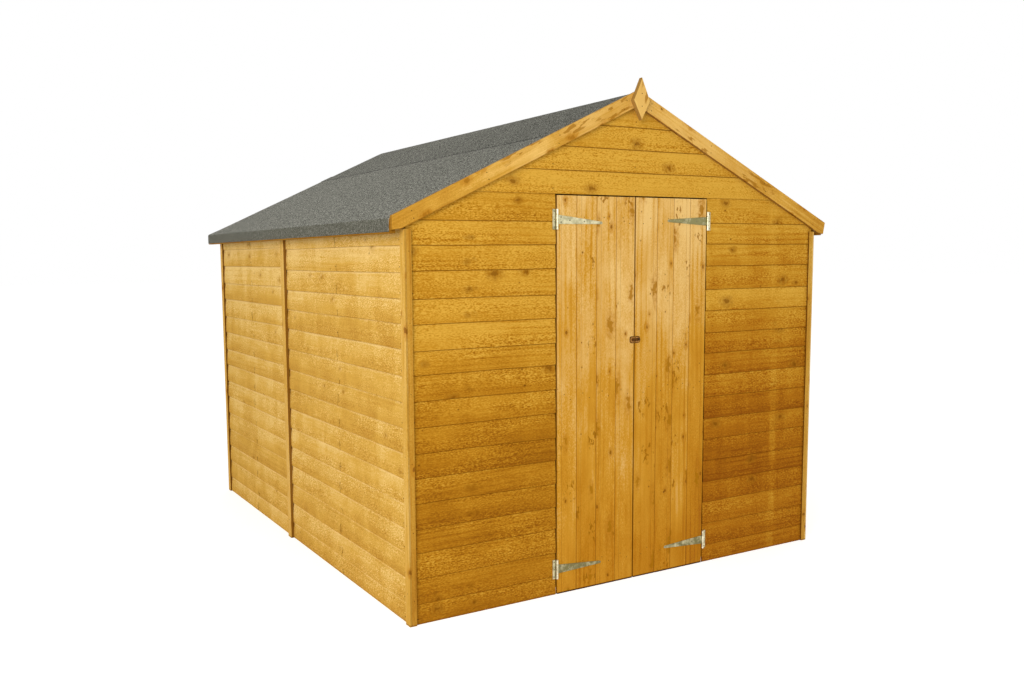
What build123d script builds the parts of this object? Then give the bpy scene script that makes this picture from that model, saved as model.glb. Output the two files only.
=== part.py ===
"""Wooden garden shed: overlap-clad apex shed with double doors, in millimetres, +Z up.

The front gable faces -Y and carries the doors; the ridge runs along Y over X = 0.
The origin is at the middle of the plan, on the ground.
"""
from build123d import *
import math
import os

# ---- driving dimensions -------------------------------------------------------------------
WIDTH = 2400.0                # over the corner trims
DEPTH = 2780.0                # front cladding face to rear cladding face
PANEL_JOINT = 1516.0          # front cladding face to the joint of the two side panels
PITCH = 25.0                  # roof pitch, degrees
RIDGE_HEIGHT = 2300.0         # top of the felt at the ridge
HEAD_HEIGHT = 1828.0          # top of the doorway
DOORWAY_WIDTH = 900.0
EAVES_OVERHANG = 62.0         # roof sheet beyond the corner trims, each side
REAR_OVERHANG = 55.0          # roof sheet beyond the rear cladding
EAVES_DROP = 1657.0           # height of the felt's folded edge and the barge seats
BATTEN_SHOW = 6.0             # eaves batten below the felt's folded edge

# ---- timber and sheet sizes ---------------------------------------------------------------
CLAD = 14.0                   # thickness over the lapped boards
TRIM_FRONT = 8.0              # trim strips on the gable faces
TRIM_SIDE = 10.0              # trim strips on the side faces
TRIM_FRONT_WIDTH = 34.0
TRIM_SIDE_WIDTH = 42.0
BATTEN = 28.0                 # square framing section
FRAME_JOINT = 1.0             # half the open joint between neighbouring frames
PURLIN_DEPTH = 45.0
PURLIN_X = 600.0              # inner face of the middle purlins
ROOF_SHEET = 9.0
FELT = 2.5
FELT_SEAM = 0.37              # seam's place down the slope, as a share of the half span
FELT_LAP = 75.0
FELT_EASE = 15.0              # width over which the ridge strip climbs onto the lap
FLOOR_SHEET = 11.0
BEARER_COUNT = 5
BARGE = 20.0
BARGE_WIDTH = 70.0
BARGE_UPSTAND = 8.0           # barge top above the felt
BARGE_OVER = 3.5              # barge end beyond the felt's fold
BARGE_LEAN = {"left": 0.0, "right": 20.0}      # foot of the end cut, in from plumb
FINIAL = 22.0
FINIAL_HEIGHT = 191.0
FINIAL_WIDTH = 96.0
FINIAL_TOP = 2360.0
FINIAL_SHOULDER = 2256.0      # height of the finial's widest point
JOINT_STRIP = 16.0            # thickness of the strips over the side panels' joints
JOINT_STRIP_WIDTH = 50.0
TRIM_GAP = 2.0                # open joint between a front trim and the barge above

# ---- doors and their fittings -------------------------------------------------------------
DOOR_BOARD = 12.0
DOOR_PROUD = 2.0              # leaf face in front of the cladding face
HINGE_GAP = 7.0
MEETING_GAP = 6.0
HEAD_GAP = 6.0
SILL_GAP = 6.0
LEDGE = 20.0
LEDGE_HEIGHT = 70.0
LEDGE_INSET = 14.0            # ledge ends in from the leaf's edges
LEDGE_HEIGHTS = (122.0, 915.0, 1714.0)    # middle of each ledge
BRACE_WIDTH = 60.0
BRACE_JOINT = 1.0             # open joint between a brace and its ledge
HINGE_HEIGHTS = (120.0, 1716.0)
HINGE_PLATE = 2.5
PIN_RADIUS = 2.5
PIN_CLEARANCE = 0.3
KNUCKLE_RADIUS = 5.5
PIN_FORWARD = 7.0             # pin axis in front of the cladding face
FLAP_HEIGHT = 90.0
FLAP_WIDTH = 21.0             # from the pin axis to the flap's outer edge
STRAP_LENGTH = 252.0
STRAP_ROOT = 42.0
STRAP_TIP = 12.0
KNUCKLE_JOINT = 1.0           # open joint between the knuckles of flap and strap
NOTCH = 7.0                   # half width of the flap's notch for the strap's knuckle
LATCH_HEIGHT = 32.0
LATCH_REACH = {"left": 30.0, "right": 31.0}    # from the meeting line to the rounded end
LATCH_CORNER = 11.0
LATCH_EDGE = 2.5
LATCH_THICKNESS = 8.0
LATCH_Z = 1158.0

# ---- derived places -----------------------------------------------------------------------
SLOPE = math.tan(math.radians(PITCH))
PER_VERTICAL = 1.0 / math.cos(math.radians(PITCH))   # vertical depth of 1 mm square to the slope
OVERALL_LENGTH = FINIAL + BARGE + DEPTH + REAR_OVERHANG + BARGE
FRONT = -OVERALL_LENGTH / 2 + FINIAL + BARGE          # Y of the front cladding face
REAR = FRONT + DEPTH                                  # Y of the rear cladding face
ROOF_REAR = REAR + REAR_OVERHANG
JOINT_Y = FRONT + PANEL_JOINT
CLAD_X = WIDTH / 2 - TRIM_SIDE                        # outer face of the side cladding
FRAME_X = CLAD_X - CLAD                               # outer face of the side frames
EAVES_X = WIDTH / 2 + EAVES_OVERHANG
BARGE_X = EAVES_X + FELT + BARGE_OVER
DOORWAY_X = DOORWAY_WIDTH / 2
FLOOR_TOP = BATTEN + FLOOR_SHEET
SHEET_TOP = RIDGE_HEIGHT - FELT * PER_VERTICAL
SHEET_UNDER = SHEET_TOP - ROOF_SHEET * PER_VERTICAL
SIDE_TOP = SHEET_UNDER - SLOPE * CLAD_X               # top of the side walls
BARGE_TOP = RIDGE_HEIGHT + BARGE_UPSTAND
BARGE_UNDER = BARGE_TOP - BARGE_WIDTH * PER_VERTICAL
LEAF_FACE = FRONT - DOOR_PROUD
LEAF_BACK = LEAF_FACE + DOOR_BOARD
PIN_X = DOORWAY_X - HINGE_GAP / 2
PIN_Y = FRONT - PIN_FORWARD
SIDES = ((-1, "left"), (1, "right"))


def slope_z(top, x):
    """Height at x of a roof line that passes the ridge at the height top."""
    return top - SLOPE * abs(x)


def slope_x(top, z):
    """Distance from the ridge at which that line has come down to z."""
    return (top - z) / SLOPE


def save(builder, label):
    """Name a finished piece and write it as its own STEP file."""
    builder.part.label = label
    export_step(builder.part, f"parts/{label}.step")


def prism(outlines, y_low, y_high):
    """Separate pieces with outlines in the XZ plane, run from y_low to y_high."""
    with BuildPart() as piece:
        with BuildSketch(Plane.XZ.offset(-y_high)):
            for outline in outlines:
                with BuildLine():
                    Polyline(*outline, close=True)
                make_face()
        extrude(amount=y_high - y_low)
    return piece


def blocks(boxes):
    """Separate square-cut pieces, each given by its low and high corner."""
    with BuildPart() as piece:
        for low, high in boxes:
            size = [b - a for a, b in zip(low, high)]
            with Locations(low):
                Box(*size, align=(Align.MIN, Align.MIN, Align.MIN))
    return piece


def sided(side, low, high):
    """A block given for the right-hand side, put on the side that the sign says."""
    xs = sorted((side * low[0], side * high[0]))
    return (xs[0], *low[1:]), (xs[1], *high[1:])


def band(low_x, high_x, top, under):
    """Outline of a sloping band between two roof lines, from low_x out to high_x."""
    return [(low_x, slope_z(top, low_x)), (high_x, slope_z(top, high_x)),
            (high_x, slope_z(under, high_x)), (low_x, slope_z(under, low_x))]


def mirrored(side, outline):
    """An outline given for the right-hand side, put on the side that the sign says."""
    return [(side * x, z) for x, z in outline]


# ---- floor --------------------------------------------------------------------------------
def build_floor():
    half = FRAME_X - FRAME_JOINT
    low_y, high_y = FRONT + CLAD + FRAME_JOINT, REAR - CLAD - FRAME_JOINT
    save(blocks([((-half, low_y, BATTEN), (half, high_y, FLOOR_TOP))]), "floor_sheet")
    reach = half - BATTEN / 2
    lines = [reach * (2 * i / (BEARER_COUNT - 1) - 1) for i in range(BEARER_COUNT)]
    bearers = [((x - BATTEN / 2, low_y, 0), (x + BATTEN / 2, high_y, BATTEN)) for x in lines]
    save(blocks(bearers), "floor_bearers")


# ---- side walls ---------------------------------------------------------------------------
def build_side_wall(side, name):
    """Two clad panels and the framing behind them; side is -1 for left and 1 for right."""
    panels = {"front": (FRONT + CLAD, JOINT_Y), "rear": (JOINT_Y, REAR - CLAD)}
    for place, (low_y, high_y) in panels.items():
        board = sided(side, (FRAME_X, low_y, 0), (CLAD_X, high_y, SIDE_TOP))
        save(blocks([board]), f"{name}_{place}_cladding")

    inner = FRAME_X - BATTEN
    frames = [(FRONT + CLAD + BATTEN, JOINT_Y - FRAME_JOINT),
              (JOINT_Y + FRAME_JOINT, REAR - CLAD - BATTEN)]
    studs, rails = [], []
    for low_y, high_y in frames:
        middle = (low_y + high_y - BATTEN) / 2
        for y in (low_y, middle, high_y - BATTEN):
            studs.append(sided(side, (inner, y, FLOOR_TOP + BATTEN),
                               (FRAME_X, y + BATTEN, SIDE_TOP - BATTEN)))
        for z in (FLOOR_TOP, SIDE_TOP - BATTEN):
            rails.append(sided(side, (inner, low_y, z), (FRAME_X, high_y, z + BATTEN)))
    save(blocks(studs), f"{name}_studs")
    save(blocks(rails), f"{name}_rails")


# ---- gables -------------------------------------------------------------------------------
def upright(x, foot, top_line):
    """Outline of a post from x to x + BATTEN, cut at the top to the roof's slope."""
    far = x + BATTEN
    return [(x, foot), (far, foot), (far, slope_z(top_line, far)), (x, slope_z(top_line, x))]


def gable_frame(name, y_low, posts, king_foot, rails):
    """Posts, rails and the pair of sloping battens behind a gable's cladding.

    posts holds the inner face of each pair of posts, king_foot the foot of the middle post,
    and rails the two ends and the underside of each level batten.
    """
    y_high = y_low + BATTEN
    under = SHEET_UNDER - BATTEN * PER_VERTICAL
    foot = FLOOR_TOP + BATTEN
    half = BATTEN / 2
    studs = [mirrored(side, upright(x, foot, under)) for x in posts for side, _ in SIDES]
    studs.append([(-half, king_foot), (half, king_foot), (half, slope_z(under, half)), (0, under),
                  (-half, slope_z(under, half))])
    save(prism(studs, y_low, y_high), f"{name}_studs")

    batten = band(FRAME_JOINT, FRAME_X, SHEET_UNDER, under)
    save(prism([batten, mirrored(-1, batten)], y_low, y_high), f"{name}_top_battens")
    lines = [((low_x, y_low, z), (high_x, y_high, z + BATTEN)) for low_x, high_x, z in rails]
    save(blocks(lines), f"{name}_rails")


def build_front_gable():
    """Cladding beside and over the doorway, and the framing that the doors hang from."""
    head_x = slope_x(SHEET_UNDER, HEAD_HEIGHT)
    beside = [(CLAD_X, 0), (DOORWAY_X, 0), (DOORWAY_X, HEAD_HEIGHT), (head_x, HEAD_HEIGHT),
              (CLAD_X, SIDE_TOP)]
    for side, name in SIDES:
        save(prism([mirrored(side, beside)], FRONT, FRONT + CLAD), f"front_{name}_cladding")
    over = [(-head_x, HEAD_HEIGHT), (head_x, HEAD_HEIGHT), (0, SHEET_UNDER)]
    save(prism([over], FRONT, FRONT + CLAD), "front_gable_cladding")
    gable_frame("front", FRONT + CLAD, (DOORWAY_X, FRAME_X - BATTEN), HEAD_HEIGHT + BATTEN,
                [(-FRAME_X, -DOORWAY_X, FLOOR_TOP), (DOORWAY_X, FRAME_X, FLOOR_TOP),
                 (-DOORWAY_X, DOORWAY_X, HEAD_HEIGHT)])


def build_rear_gable():
    """One clad panel, with posts at its quarter widths, its corners and its middle."""
    outline = [(-CLAD_X, 0), (CLAD_X, 0), (CLAD_X, SIDE_TOP), (0, SHEET_UNDER), (-CLAD_X, SIDE_TOP)]
    save(prism([outline], REAR - CLAD, REAR), "rear_cladding")
    gable_frame("rear", REAR - CLAD - BATTEN, (FRAME_X / 2, FRAME_X - BATTEN), FLOOR_TOP + BATTEN,
                [(-FRAME_X, FRAME_X, FLOOR_TOP)])


# ---- trims --------------------------------------------------------------------------------
def corner_trims(name, face_y, outward, top):
    """A pair of angle trims; outward is -1 on the front gable and 1 on the rear one."""
    proud = face_y + outward * TRIM_FRONT
    inboard = proud - outward * TRIM_SIDE_WIDTH
    with BuildPart() as trims:
        for side, _ in SIDES:
            edge, skin = side * WIDTH / 2, side * CLAD_X
            back = edge - side * TRIM_FRONT_WIDTH
            with BuildSketch(Plane.XY):
                with BuildLine():
                    Polyline((edge, proud), (back, proud), (back, face_y), (skin, face_y),
                             (skin, inboard), (edge, inboard), close=True)
                make_face()
        extrude(amount=top)
    save(trims, name)


def build_trims():
    corner_trims("front_corner_trims", FRONT, -1, slope_z(BARGE_UNDER, WIDTH / 2) - TRIM_GAP)
    corner_trims("rear_corner_trims", REAR, 1, SIDE_TOP - TRIM_FRONT)
    half = JOINT_STRIP_WIDTH / 2
    strips = [sided(side, (CLAD_X, JOINT_Y - half, 0),
                    (CLAD_X + JOINT_STRIP, JOINT_Y + half, EAVES_DROP)) for side, _ in SIDES]
    save(blocks(strips), "side_joint_strips")


# ---- roof ---------------------------------------------------------------------------------
def build_roof_timbers():
    """Roof sheets, and the battens beneath them at ridge, middle and eaves."""
    sheet = band(0, EAVES_X, SHEET_TOP, SHEET_UNDER)
    for side, name in SIDES:
        save(prism([mirrored(side, sheet)], FRONT, ROOF_REAR), f"{name}_roof_sheet")

    deep = SHEET_UNDER - PURLIN_DEPTH * PER_VERTICAL
    inner = [band(x, x + BATTEN, SHEET_UNDER, deep) for x in (FRAME_JOINT, PURLIN_X)]
    purlins = inner + [mirrored(-1, outline) for outline in inner]
    start, end = FRONT + CLAD + BATTEN, REAR - CLAD - BATTEN
    save(prism(purlins, start, end), "roof_purlins")

    back = EAVES_X - BATTEN
    foot = EAVES_DROP - BATTEN_SHOW
    eaves = [(back, slope_z(SHEET_UNDER, back)), (EAVES_X, slope_z(SHEET_UNDER, EAVES_X)),
             (EAVES_X, foot), (back, foot)]
    save(prism([eaves, mirrored(-1, eaves)], FRONT, ROOF_REAR), "eaves_battens")


def build_felt():
    """Eaves strips folded down over the eaves, and a ridge strip lapped over them both."""
    seam = FELT_SEAM * EAVES_X
    start = seam - FELT_LAP
    edge = EAVES_X + FELT
    lower = [(start, slope_z(SHEET_TOP, start)), (start, slope_z(RIDGE_HEIGHT, start)),
             (edge, slope_z(RIDGE_HEIGHT, edge)), (edge, EAVES_DROP), (EAVES_X, EAVES_DROP),
             (EAVES_X, slope_z(SHEET_TOP, EAVES_X))]
    for side, name in SIDES:
        save(prism([mirrored(side, lower)], FRONT, ROOF_REAR), f"{name}_felt")

    lapped = RIDGE_HEIGHT + FELT * PER_VERTICAL
    climb = start - FELT_EASE
    half = [(climb, slope_z(RIDGE_HEIGHT, climb)), (start, slope_z(lapped, start)),
            (seam, slope_z(lapped, seam)), (seam, slope_z(RIDGE_HEIGHT, seam)),
            (start, slope_z(RIDGE_HEIGHT, start)), (start, slope_z(SHEET_TOP, start))]
    outline = [(0, RIDGE_HEIGHT)] + half + [(0, SHEET_TOP)] + mirrored(-1, half[::-1])
    save(prism([outline], FRONT, ROOF_REAR), "ridge_felt")


def barge(lean):
    """Outline of the right-hand bargeboard; lean draws the foot of its end cut inwards."""
    top_end = slope_z(BARGE_TOP, BARGE_X)
    return [(0, BARGE_UNDER), (0, BARGE_TOP), (BARGE_X, top_end), (BARGE_X - lean, EAVES_DROP),
            (slope_x(BARGE_UNDER, EAVES_DROP), EAVES_DROP)]


def build_barges():
    faces = (("front", FRONT - BARGE, FRONT), ("rear", ROOF_REAR, ROOF_REAR + BARGE))
    for place, low_y, high_y in faces:
        for side, name in SIDES:
            outline = mirrored(side, barge(BARGE_LEAN[name]))
            save(prism([outline], low_y, high_y), f"{place}_{name}_barge")
    half = FINIAL_WIDTH / 2
    diamond = [(0, FINIAL_TOP), (half, FINIAL_SHOULDER), (0, FINIAL_TOP - FINIAL_HEIGHT),
               (-half, FINIAL_SHOULDER)]
    save(prism([diamond], FRONT - BARGE - FINIAL, FRONT - BARGE), "front_finial")


# ---- doors --------------------------------------------------------------------------------
def build_leaf(side, name):
    """One door leaf: its boards, and the ledges and braces on its back."""
    edge, meeting = PIN_X - HINGE_GAP / 2, MEETING_GAP / 2
    board = sided(side, (meeting, LEAF_FACE, SILL_GAP), (edge, LEAF_BACK, HEAD_HEIGHT - HEAD_GAP))
    save(blocks([board]), f"{name}_door_boards")

    near, far = meeting + LEDGE_INSET, edge - LEDGE_INSET
    half = LEDGE_HEIGHT / 2
    bars = [[(near, z - half), (far, z - half), (far, z + half), (near, z + half)]
            for z in LEDGE_HEIGHTS]
    for lower, upper in zip(LEDGE_HEIGHTS, LEDGE_HEIGHTS[1:]):
        foot, top = lower + half + BRACE_JOINT, upper - half - BRACE_JOINT
        bars.append([(far, foot), (far - BRACE_WIDTH, foot), (near, top), (near + BRACE_WIDTH, top)])
    save(prism([mirrored(side, bar) for bar in bars], LEAF_BACK, LEAF_BACK + LEDGE),
         f"{name}_door_ledges")


def build_straps(side, name):
    """Tapered straps of the tee hinges on one leaf, each rolled round its pin at the root."""
    pin, tip = side * PIN_X, side * (PIN_X - STRAP_LENGTH)
    centre = tip + side * STRAP_TIP / 2
    with BuildPart() as straps:
        for z in HINGE_HEIGHTS:
            with BuildSketch(Plane.XZ.offset(-LEAF_FACE)):
                with BuildLine():
                    Polyline((pin, z + STRAP_ROOT / 2), (centre, z + STRAP_TIP / 2),
                             (centre, z - STRAP_TIP / 2), (pin, z - STRAP_ROOT / 2), close=True)
                make_face()
                with Locations((centre, z)):
                    Circle(STRAP_TIP / 2)
            extrude(amount=HINGE_PLATE)
            with Locations((pin, PIN_Y, z)):
                Cylinder(KNUCKLE_RADIUS, STRAP_ROOT)
                Cylinder(PIN_RADIUS + PIN_CLEARANCE, STRAP_ROOT, mode=Mode.SUBTRACT)
    save(straps, f"{name}_hinge_straps")


def build_flaps(side, name):
    """Wall flaps of the same hinges, with their end knuckles and the pins."""
    pin = side * PIN_X
    knuckle = (FLAP_HEIGHT - STRAP_ROOT) / 2 - KNUCKLE_JOINT
    with BuildPart() as flaps:
        for z in HINGE_HEIGHTS:
            low, high = sided(side, (PIN_X, FRONT - HINGE_PLATE, z - FLAP_HEIGHT / 2),
                              (PIN_X + FLAP_WIDTH, FRONT, z + FLAP_HEIGHT / 2))
            with Locations(low):
                Box(FLAP_WIDTH, HINGE_PLATE, FLAP_HEIGHT, align=(Align.MIN, Align.MIN, Align.MIN))
            with Locations((pin, PIN_Y, z)):
                Box(2 * NOTCH, 2 * PIN_FORWARD, STRAP_ROOT + 2 * KNUCKLE_JOINT, mode=Mode.SUBTRACT)
                Cylinder(PIN_RADIUS, FLAP_HEIGHT)
            for way in (-1, 1):
                with Locations((pin, PIN_Y, z + way * (FLAP_HEIGHT - knuckle) / 2)):
                    Cylinder(KNUCKLE_RADIUS, knuckle)
    save(flaps, f"{name}_hinge_flaps")


def build_latch(side, name, reach):
    """Half of the latch on the meeting edges: a plate with a rounded outer end."""
    near = MEETING_GAP / 2
    with BuildPart() as plate:
        with BuildSketch(Plane.XZ.offset(-LEAF_FACE)) as outline:
            with Locations((side * (near + reach) / 2, LATCH_Z)):
                Rectangle(reach - near, LATCH_HEIGHT)
            outer = outline.vertices().group_by(Axis.X)[-1 if side > 0 else 0]
            fillet(outer, radius=LATCH_CORNER)
        extrude(amount=LATCH_THICKNESS)
        fillet(plate.faces().sort_by(Axis.Y)[0].edges(), radius=LATCH_EDGE)
    save(plate, f"{name}_latch_plate")


os.makedirs("parts", exist_ok=True)
build_floor()
for side_sign, side_name in SIDES:
    build_side_wall(side_sign, side_name)
    build_leaf(side_sign, side_name)
    build_straps(side_sign, side_name)
    build_flaps(side_sign, side_name)
    build_latch(side_sign, side_name, LATCH_REACH[side_name])
build_front_gable()
build_rear_gable()
build_trims()
build_roof_timbers()
build_felt()
build_barges()
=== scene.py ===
"""Garden shed with lapped cladding, a felted apex roof and double doors, dressed round its frame.

Sizes are named in millimetres in the row frame, and turned to metres where a mesh is made.
"""
import logging
import math
import random
from collections.abc import Callable
from dataclasses import dataclass, replace
from enum import Enum
from typing import NamedTuple

import bmesh
import bpy
from mathutils import Matrix, Vector, noise


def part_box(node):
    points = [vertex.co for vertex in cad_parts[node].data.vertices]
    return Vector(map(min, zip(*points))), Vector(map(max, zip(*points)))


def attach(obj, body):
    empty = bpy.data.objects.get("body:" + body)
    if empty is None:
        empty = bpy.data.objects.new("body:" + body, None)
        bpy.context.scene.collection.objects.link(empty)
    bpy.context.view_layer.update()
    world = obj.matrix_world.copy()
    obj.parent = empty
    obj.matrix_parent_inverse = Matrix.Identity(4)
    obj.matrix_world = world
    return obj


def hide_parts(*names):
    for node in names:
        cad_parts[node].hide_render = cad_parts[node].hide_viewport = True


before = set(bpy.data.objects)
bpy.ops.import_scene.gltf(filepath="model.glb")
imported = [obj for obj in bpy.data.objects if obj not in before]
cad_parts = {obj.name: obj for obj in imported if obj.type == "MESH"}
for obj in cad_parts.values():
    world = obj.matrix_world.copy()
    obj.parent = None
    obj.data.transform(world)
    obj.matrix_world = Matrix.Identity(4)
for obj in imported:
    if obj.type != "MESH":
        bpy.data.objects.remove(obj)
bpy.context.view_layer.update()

LOG = logging.getLogger("shed")
MM = 0.001
FAR = 1000.0                    # lap or foot distance that no finish reads, mm

X, Y, Z = Vector((1, 0, 0)), Vector((0, 1, 0)), Vector((0, 0, 1))
Line = Callable[[float], float]
Colour = tuple[float, float, float, float]


def box(node: str) -> tuple[Vector, Vector]:
    """Lowest and highest corner of a CAD node, in millimetres."""
    low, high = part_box(node)
    return low / MM, high / MM


def side_name(side: int) -> str:
    """Which side of the shed -1 and 1 stand for."""
    return "left" if side < 0 else "right"


def spread(node: str) -> tuple[float, float, float]:
    """How far a CAD node reaches from the middle plane, and how deep it is.

    Args:
        node: the node's name.

    Returns:
        Its nearest and farthest distance from the plane, and its depth, in millimetres.
    """
    low, high = box(node)
    near, far = sorted((abs(low.x), abs(high.x)))
    return near, far, high.y - low.y


def linear(code: str) -> Colour:
    """Turns an sRGB hex code to linear.

    Args:
        code: the colour, as in #d2a03f.

    Returns:
        The linear colour, opaque.
    """
    shares = [int(code[i:i + 2], 16) / 255 for i in (1, 3, 5)]
    red, green, blue = (s / 12.92 if s <= 0.04045 else ((s + 0.055) / 1.055) ** 2.4 for s in shares)
    return red, green, blue, 1.0


# ---- the places that the frame gives --------------------------------------------------------
@dataclass(frozen=True)
class Plan:
    """Planes and heights of the shed, read from the CAD nodes, in millimetres."""
    front: float                # outer face of the front cladding, Y
    rear: float                 # outer face of the rear cladding, Y
    side: float                 # outer face of the side cladding, X
    doorway: float              # half width of the doorway
    head: float                 # top of the doorway
    clad: float                 # thickness over the cladding
    felt_edge: float            # outer face of the folded felt, X
    roof_rear: float            # rear edge of the roof sheets, Y
    drop: float                 # foot of the folded felt and of the bargeboards
    ridge: float                # top of the felt at the ridge
    sheet_under: float          # underside of the roof sheets at the ridge
    slope: float                # fall of the roof for each millimetre outward
    wall_top: float             # top of the side cladding

    def fall(self, top: float, x: float) -> float:
        """Height at x of a roof line that passes the ridge at the height top."""
        return top - self.slope * abs(x)

    def reach(self, top: float, z: float) -> float:
        """Distance from the ridge at which that line has come down to z."""
        return (top - z) / self.slope


def read_plan() -> Plan:
    """Reads the shed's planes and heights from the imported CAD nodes.

    Returns:
        The plan that every piece is built to.
    """
    front_low, front_high = box("front_right_cladding")
    side_low, side_high = box("right_front_cladding")
    felt_low, felt_high = box("right_felt")
    rear_high = box("rear_cladding")[1]
    slope = (rear_high.z - side_high.z) / side_high.x
    return Plan(front=front_low.y, rear=rear_high.y, side=side_high.x, doorway=front_low.x,
                head=front_high.z, clad=side_high.x - side_low.x, felt_edge=felt_high.x,
                roof_rear=box("right_roof_sheet")[1].y, drop=felt_low.z,
                ridge=box("ridge_felt")[1].z, sheet_under=rear_high.z, slope=slope,
                wall_top=side_high.z)


PLAN = read_plan()


# ---- node trees -----------------------------------------------------------------------------
Tree = bpy.types.NodeTree
Socket = bpy.types.NodeSocket
Parts = list[tuple[Socket, float, float]]       # each a value with its middle and its strength

# The setting that the word after the dot in a node's kind stands for.
MODES = {"Attribute": "attribute_name", "MapRange": "interpolation_type", "Math": "operation",
         "Mix": "data_type", "VectorMath": "operation"}


def add(tree: Tree, kind: str, *values: object, into: dict[int, object] | None = None,
        stops: tuple[tuple[float, str], ...] = (), out: int | str = 0,
        **named: object) -> Socket | None:
    """Adds a node with its settings and links.

    Args:
        tree: the tree that takes the node.
        kind: the node's type without its ShaderNode prefix, and its mode after a dot.
        values: values, or other nodes' sockets, for its first inputs in order.
        into: the same by an input's number.
        stops: places and hex colours of a colour ramp.
        out: which output is wanted.
        named: the same by an input's name in small letters, and the node's own properties.

    Returns:
        The socket of that output, if the node has any.
    """
    kind, _, mode = kind.partition(".")
    made = tree.nodes.new("ShaderNode" + kind)
    if mode:
        setattr(made, MODES[kind], mode)
    inputs = {socket.name.lower().replace(" ", "_"): socket for socket in made.inputs}
    given = [*zip(made.inputs, values), *((made.inputs[i], v) for i, v in (into or {}).items())]
    for key, value in named.items():
        if key in inputs:
            given.append((inputs[key], value))
        else:
            setattr(made, key, value)
    for socket, value in given:
        if isinstance(value, Socket):
            tree.links.new(value, socket)
        else:
            socket.default_value = value
    for i, (place, code) in enumerate(stops):
        ramp = made.color_ramp.elements
        stop = ramp[i] if i < 2 else ramp.new(place)
        stop.position, stop.color = place, linear(code)
    return made.outputs[out] if made.outputs else None


def emptied(owner: bpy.types.Material | bpy.types.World) -> Tree:
    """Empties a node tree, ready to be filled.

    Args:
        owner: the material or world that has it.

    Returns:
        The tree.
    """
    owner.use_nodes = True
    owner.node_tree.nodes.clear()
    return owner.node_tree


def surface(tree: Tree, colour: Socket, height: Socket, bump: tuple[float, float],
            roughness: Socket | float, gloss: float = 0.5, metallic: float = 0.0) -> None:
    """Adds the nodes that finish a material.

    Args:
        tree: the tree that takes them.
        colour: its colour.
        height: where it stands proud.
        bump: how strongly that shows, and how high it is in mm.
        roughness: 0 for a mirror and 1 for chalk.
        gloss: how much plain light it mirrors, 0.5 for most things.
        metallic: 1 for bare metal.
    """
    bent = add(tree, "Bump", height=height, strength=bump[0], distance=bump[1] * MM)
    made = add(tree, "BsdfPrincipled", base_color=colour, normal=bent, roughness=roughness,
               specular_ior_level=gloss, metallic=metallic)
    add(tree, "OutputMaterial", made)


def summed(tree: Tree, start: float, parts: Parts) -> Socket:
    """Adds nodes that sum values, each taken from its middle and times its strength.

    Args:
        tree: the tree that takes them.
        start: what the sum starts from.
        parts: each value with its middle and its strength.

    Returns:
        The sum's socket.
    """
    total = start - sum(middle * strength for _, middle, strength in parts)
    for value, _, strength in parts:
        total = add(tree, "Math.MULTIPLY_ADD", value, strength, total)
    return total


class Grain(Enum):
    """Which way the grain runs in a timber: with its board, or along an axis of a CAD node."""
    WITH_BOARD = "board"
    ALONG_X = "x"
    ALONG_Y = "y"
    UPRIGHT = "z"
    DOWN_SLOPE = "slope"


@dataclass(frozen=True)
class Knots:
    """One kind of knot or stain mark that a timber carries."""
    cell: tuple[float, float]           # one chance of a knot in each, along and across, mm
    share: float                        # how many cells hold one
    size: tuple[float, float]           # radius, mm
    core: float = 0.8                   # how dark its heart is
    halo: float = 0.35                  # how strongly the wood round it has coloured
    ragged: float = 0.9                 # how far its outline strays from round
    grit: float = 60.0                  # how fine that outline is, in waves for each metre
    long: float = 1.4                   # how much longer it is along the grain than across
    spread: float = 4.2                 # outer edge of the halo, in radii
    heart: str = "#6b3c0c"
    dabs: float = 0.0                   # above 0, small dabs in place of a round heart
    dab_long: float = 1.8               # how much longer a dab is along the grain


# Where the finish of a board changes, each from one place to another in metres.
LAP_SHADOW_BAND = (0.001, 0.005)       # below a lap: the dark line of painted shade
LAP_HIGHLIGHT_BAND = (0.004, 0.016)       # below a lap: the painted highlight on the top of the board
CUPPED = (0.0, 0.085)           # up from a board's lower edge: its cupped part
FOOT_SHADOW_BAND = (0.006, 0.009)           # up from the ground: the painted shadow line at the foot
BAND_WIDE = (0.012, 0.030)      # to either side of the middle batten: the paler band
BAND_HIGH = (0.8, 1.15)         # up from the ground: where that band fades
RUN_WIDE = (0.001, 0.0055)      # to either side of a nail: the stain that ran down
RUN_LONG = (0.022, 0.058)       # shortest and longest of those runs
BLOT_HEART = (0.022, 0.030)     # out from a nail: the dark heart of a smear
BLOT_EDGE = (0.024, 0.048)      # and its soft edge
NAIL_LINE = 0.034               # up from a board's lower edge: the middle of a smear


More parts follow.
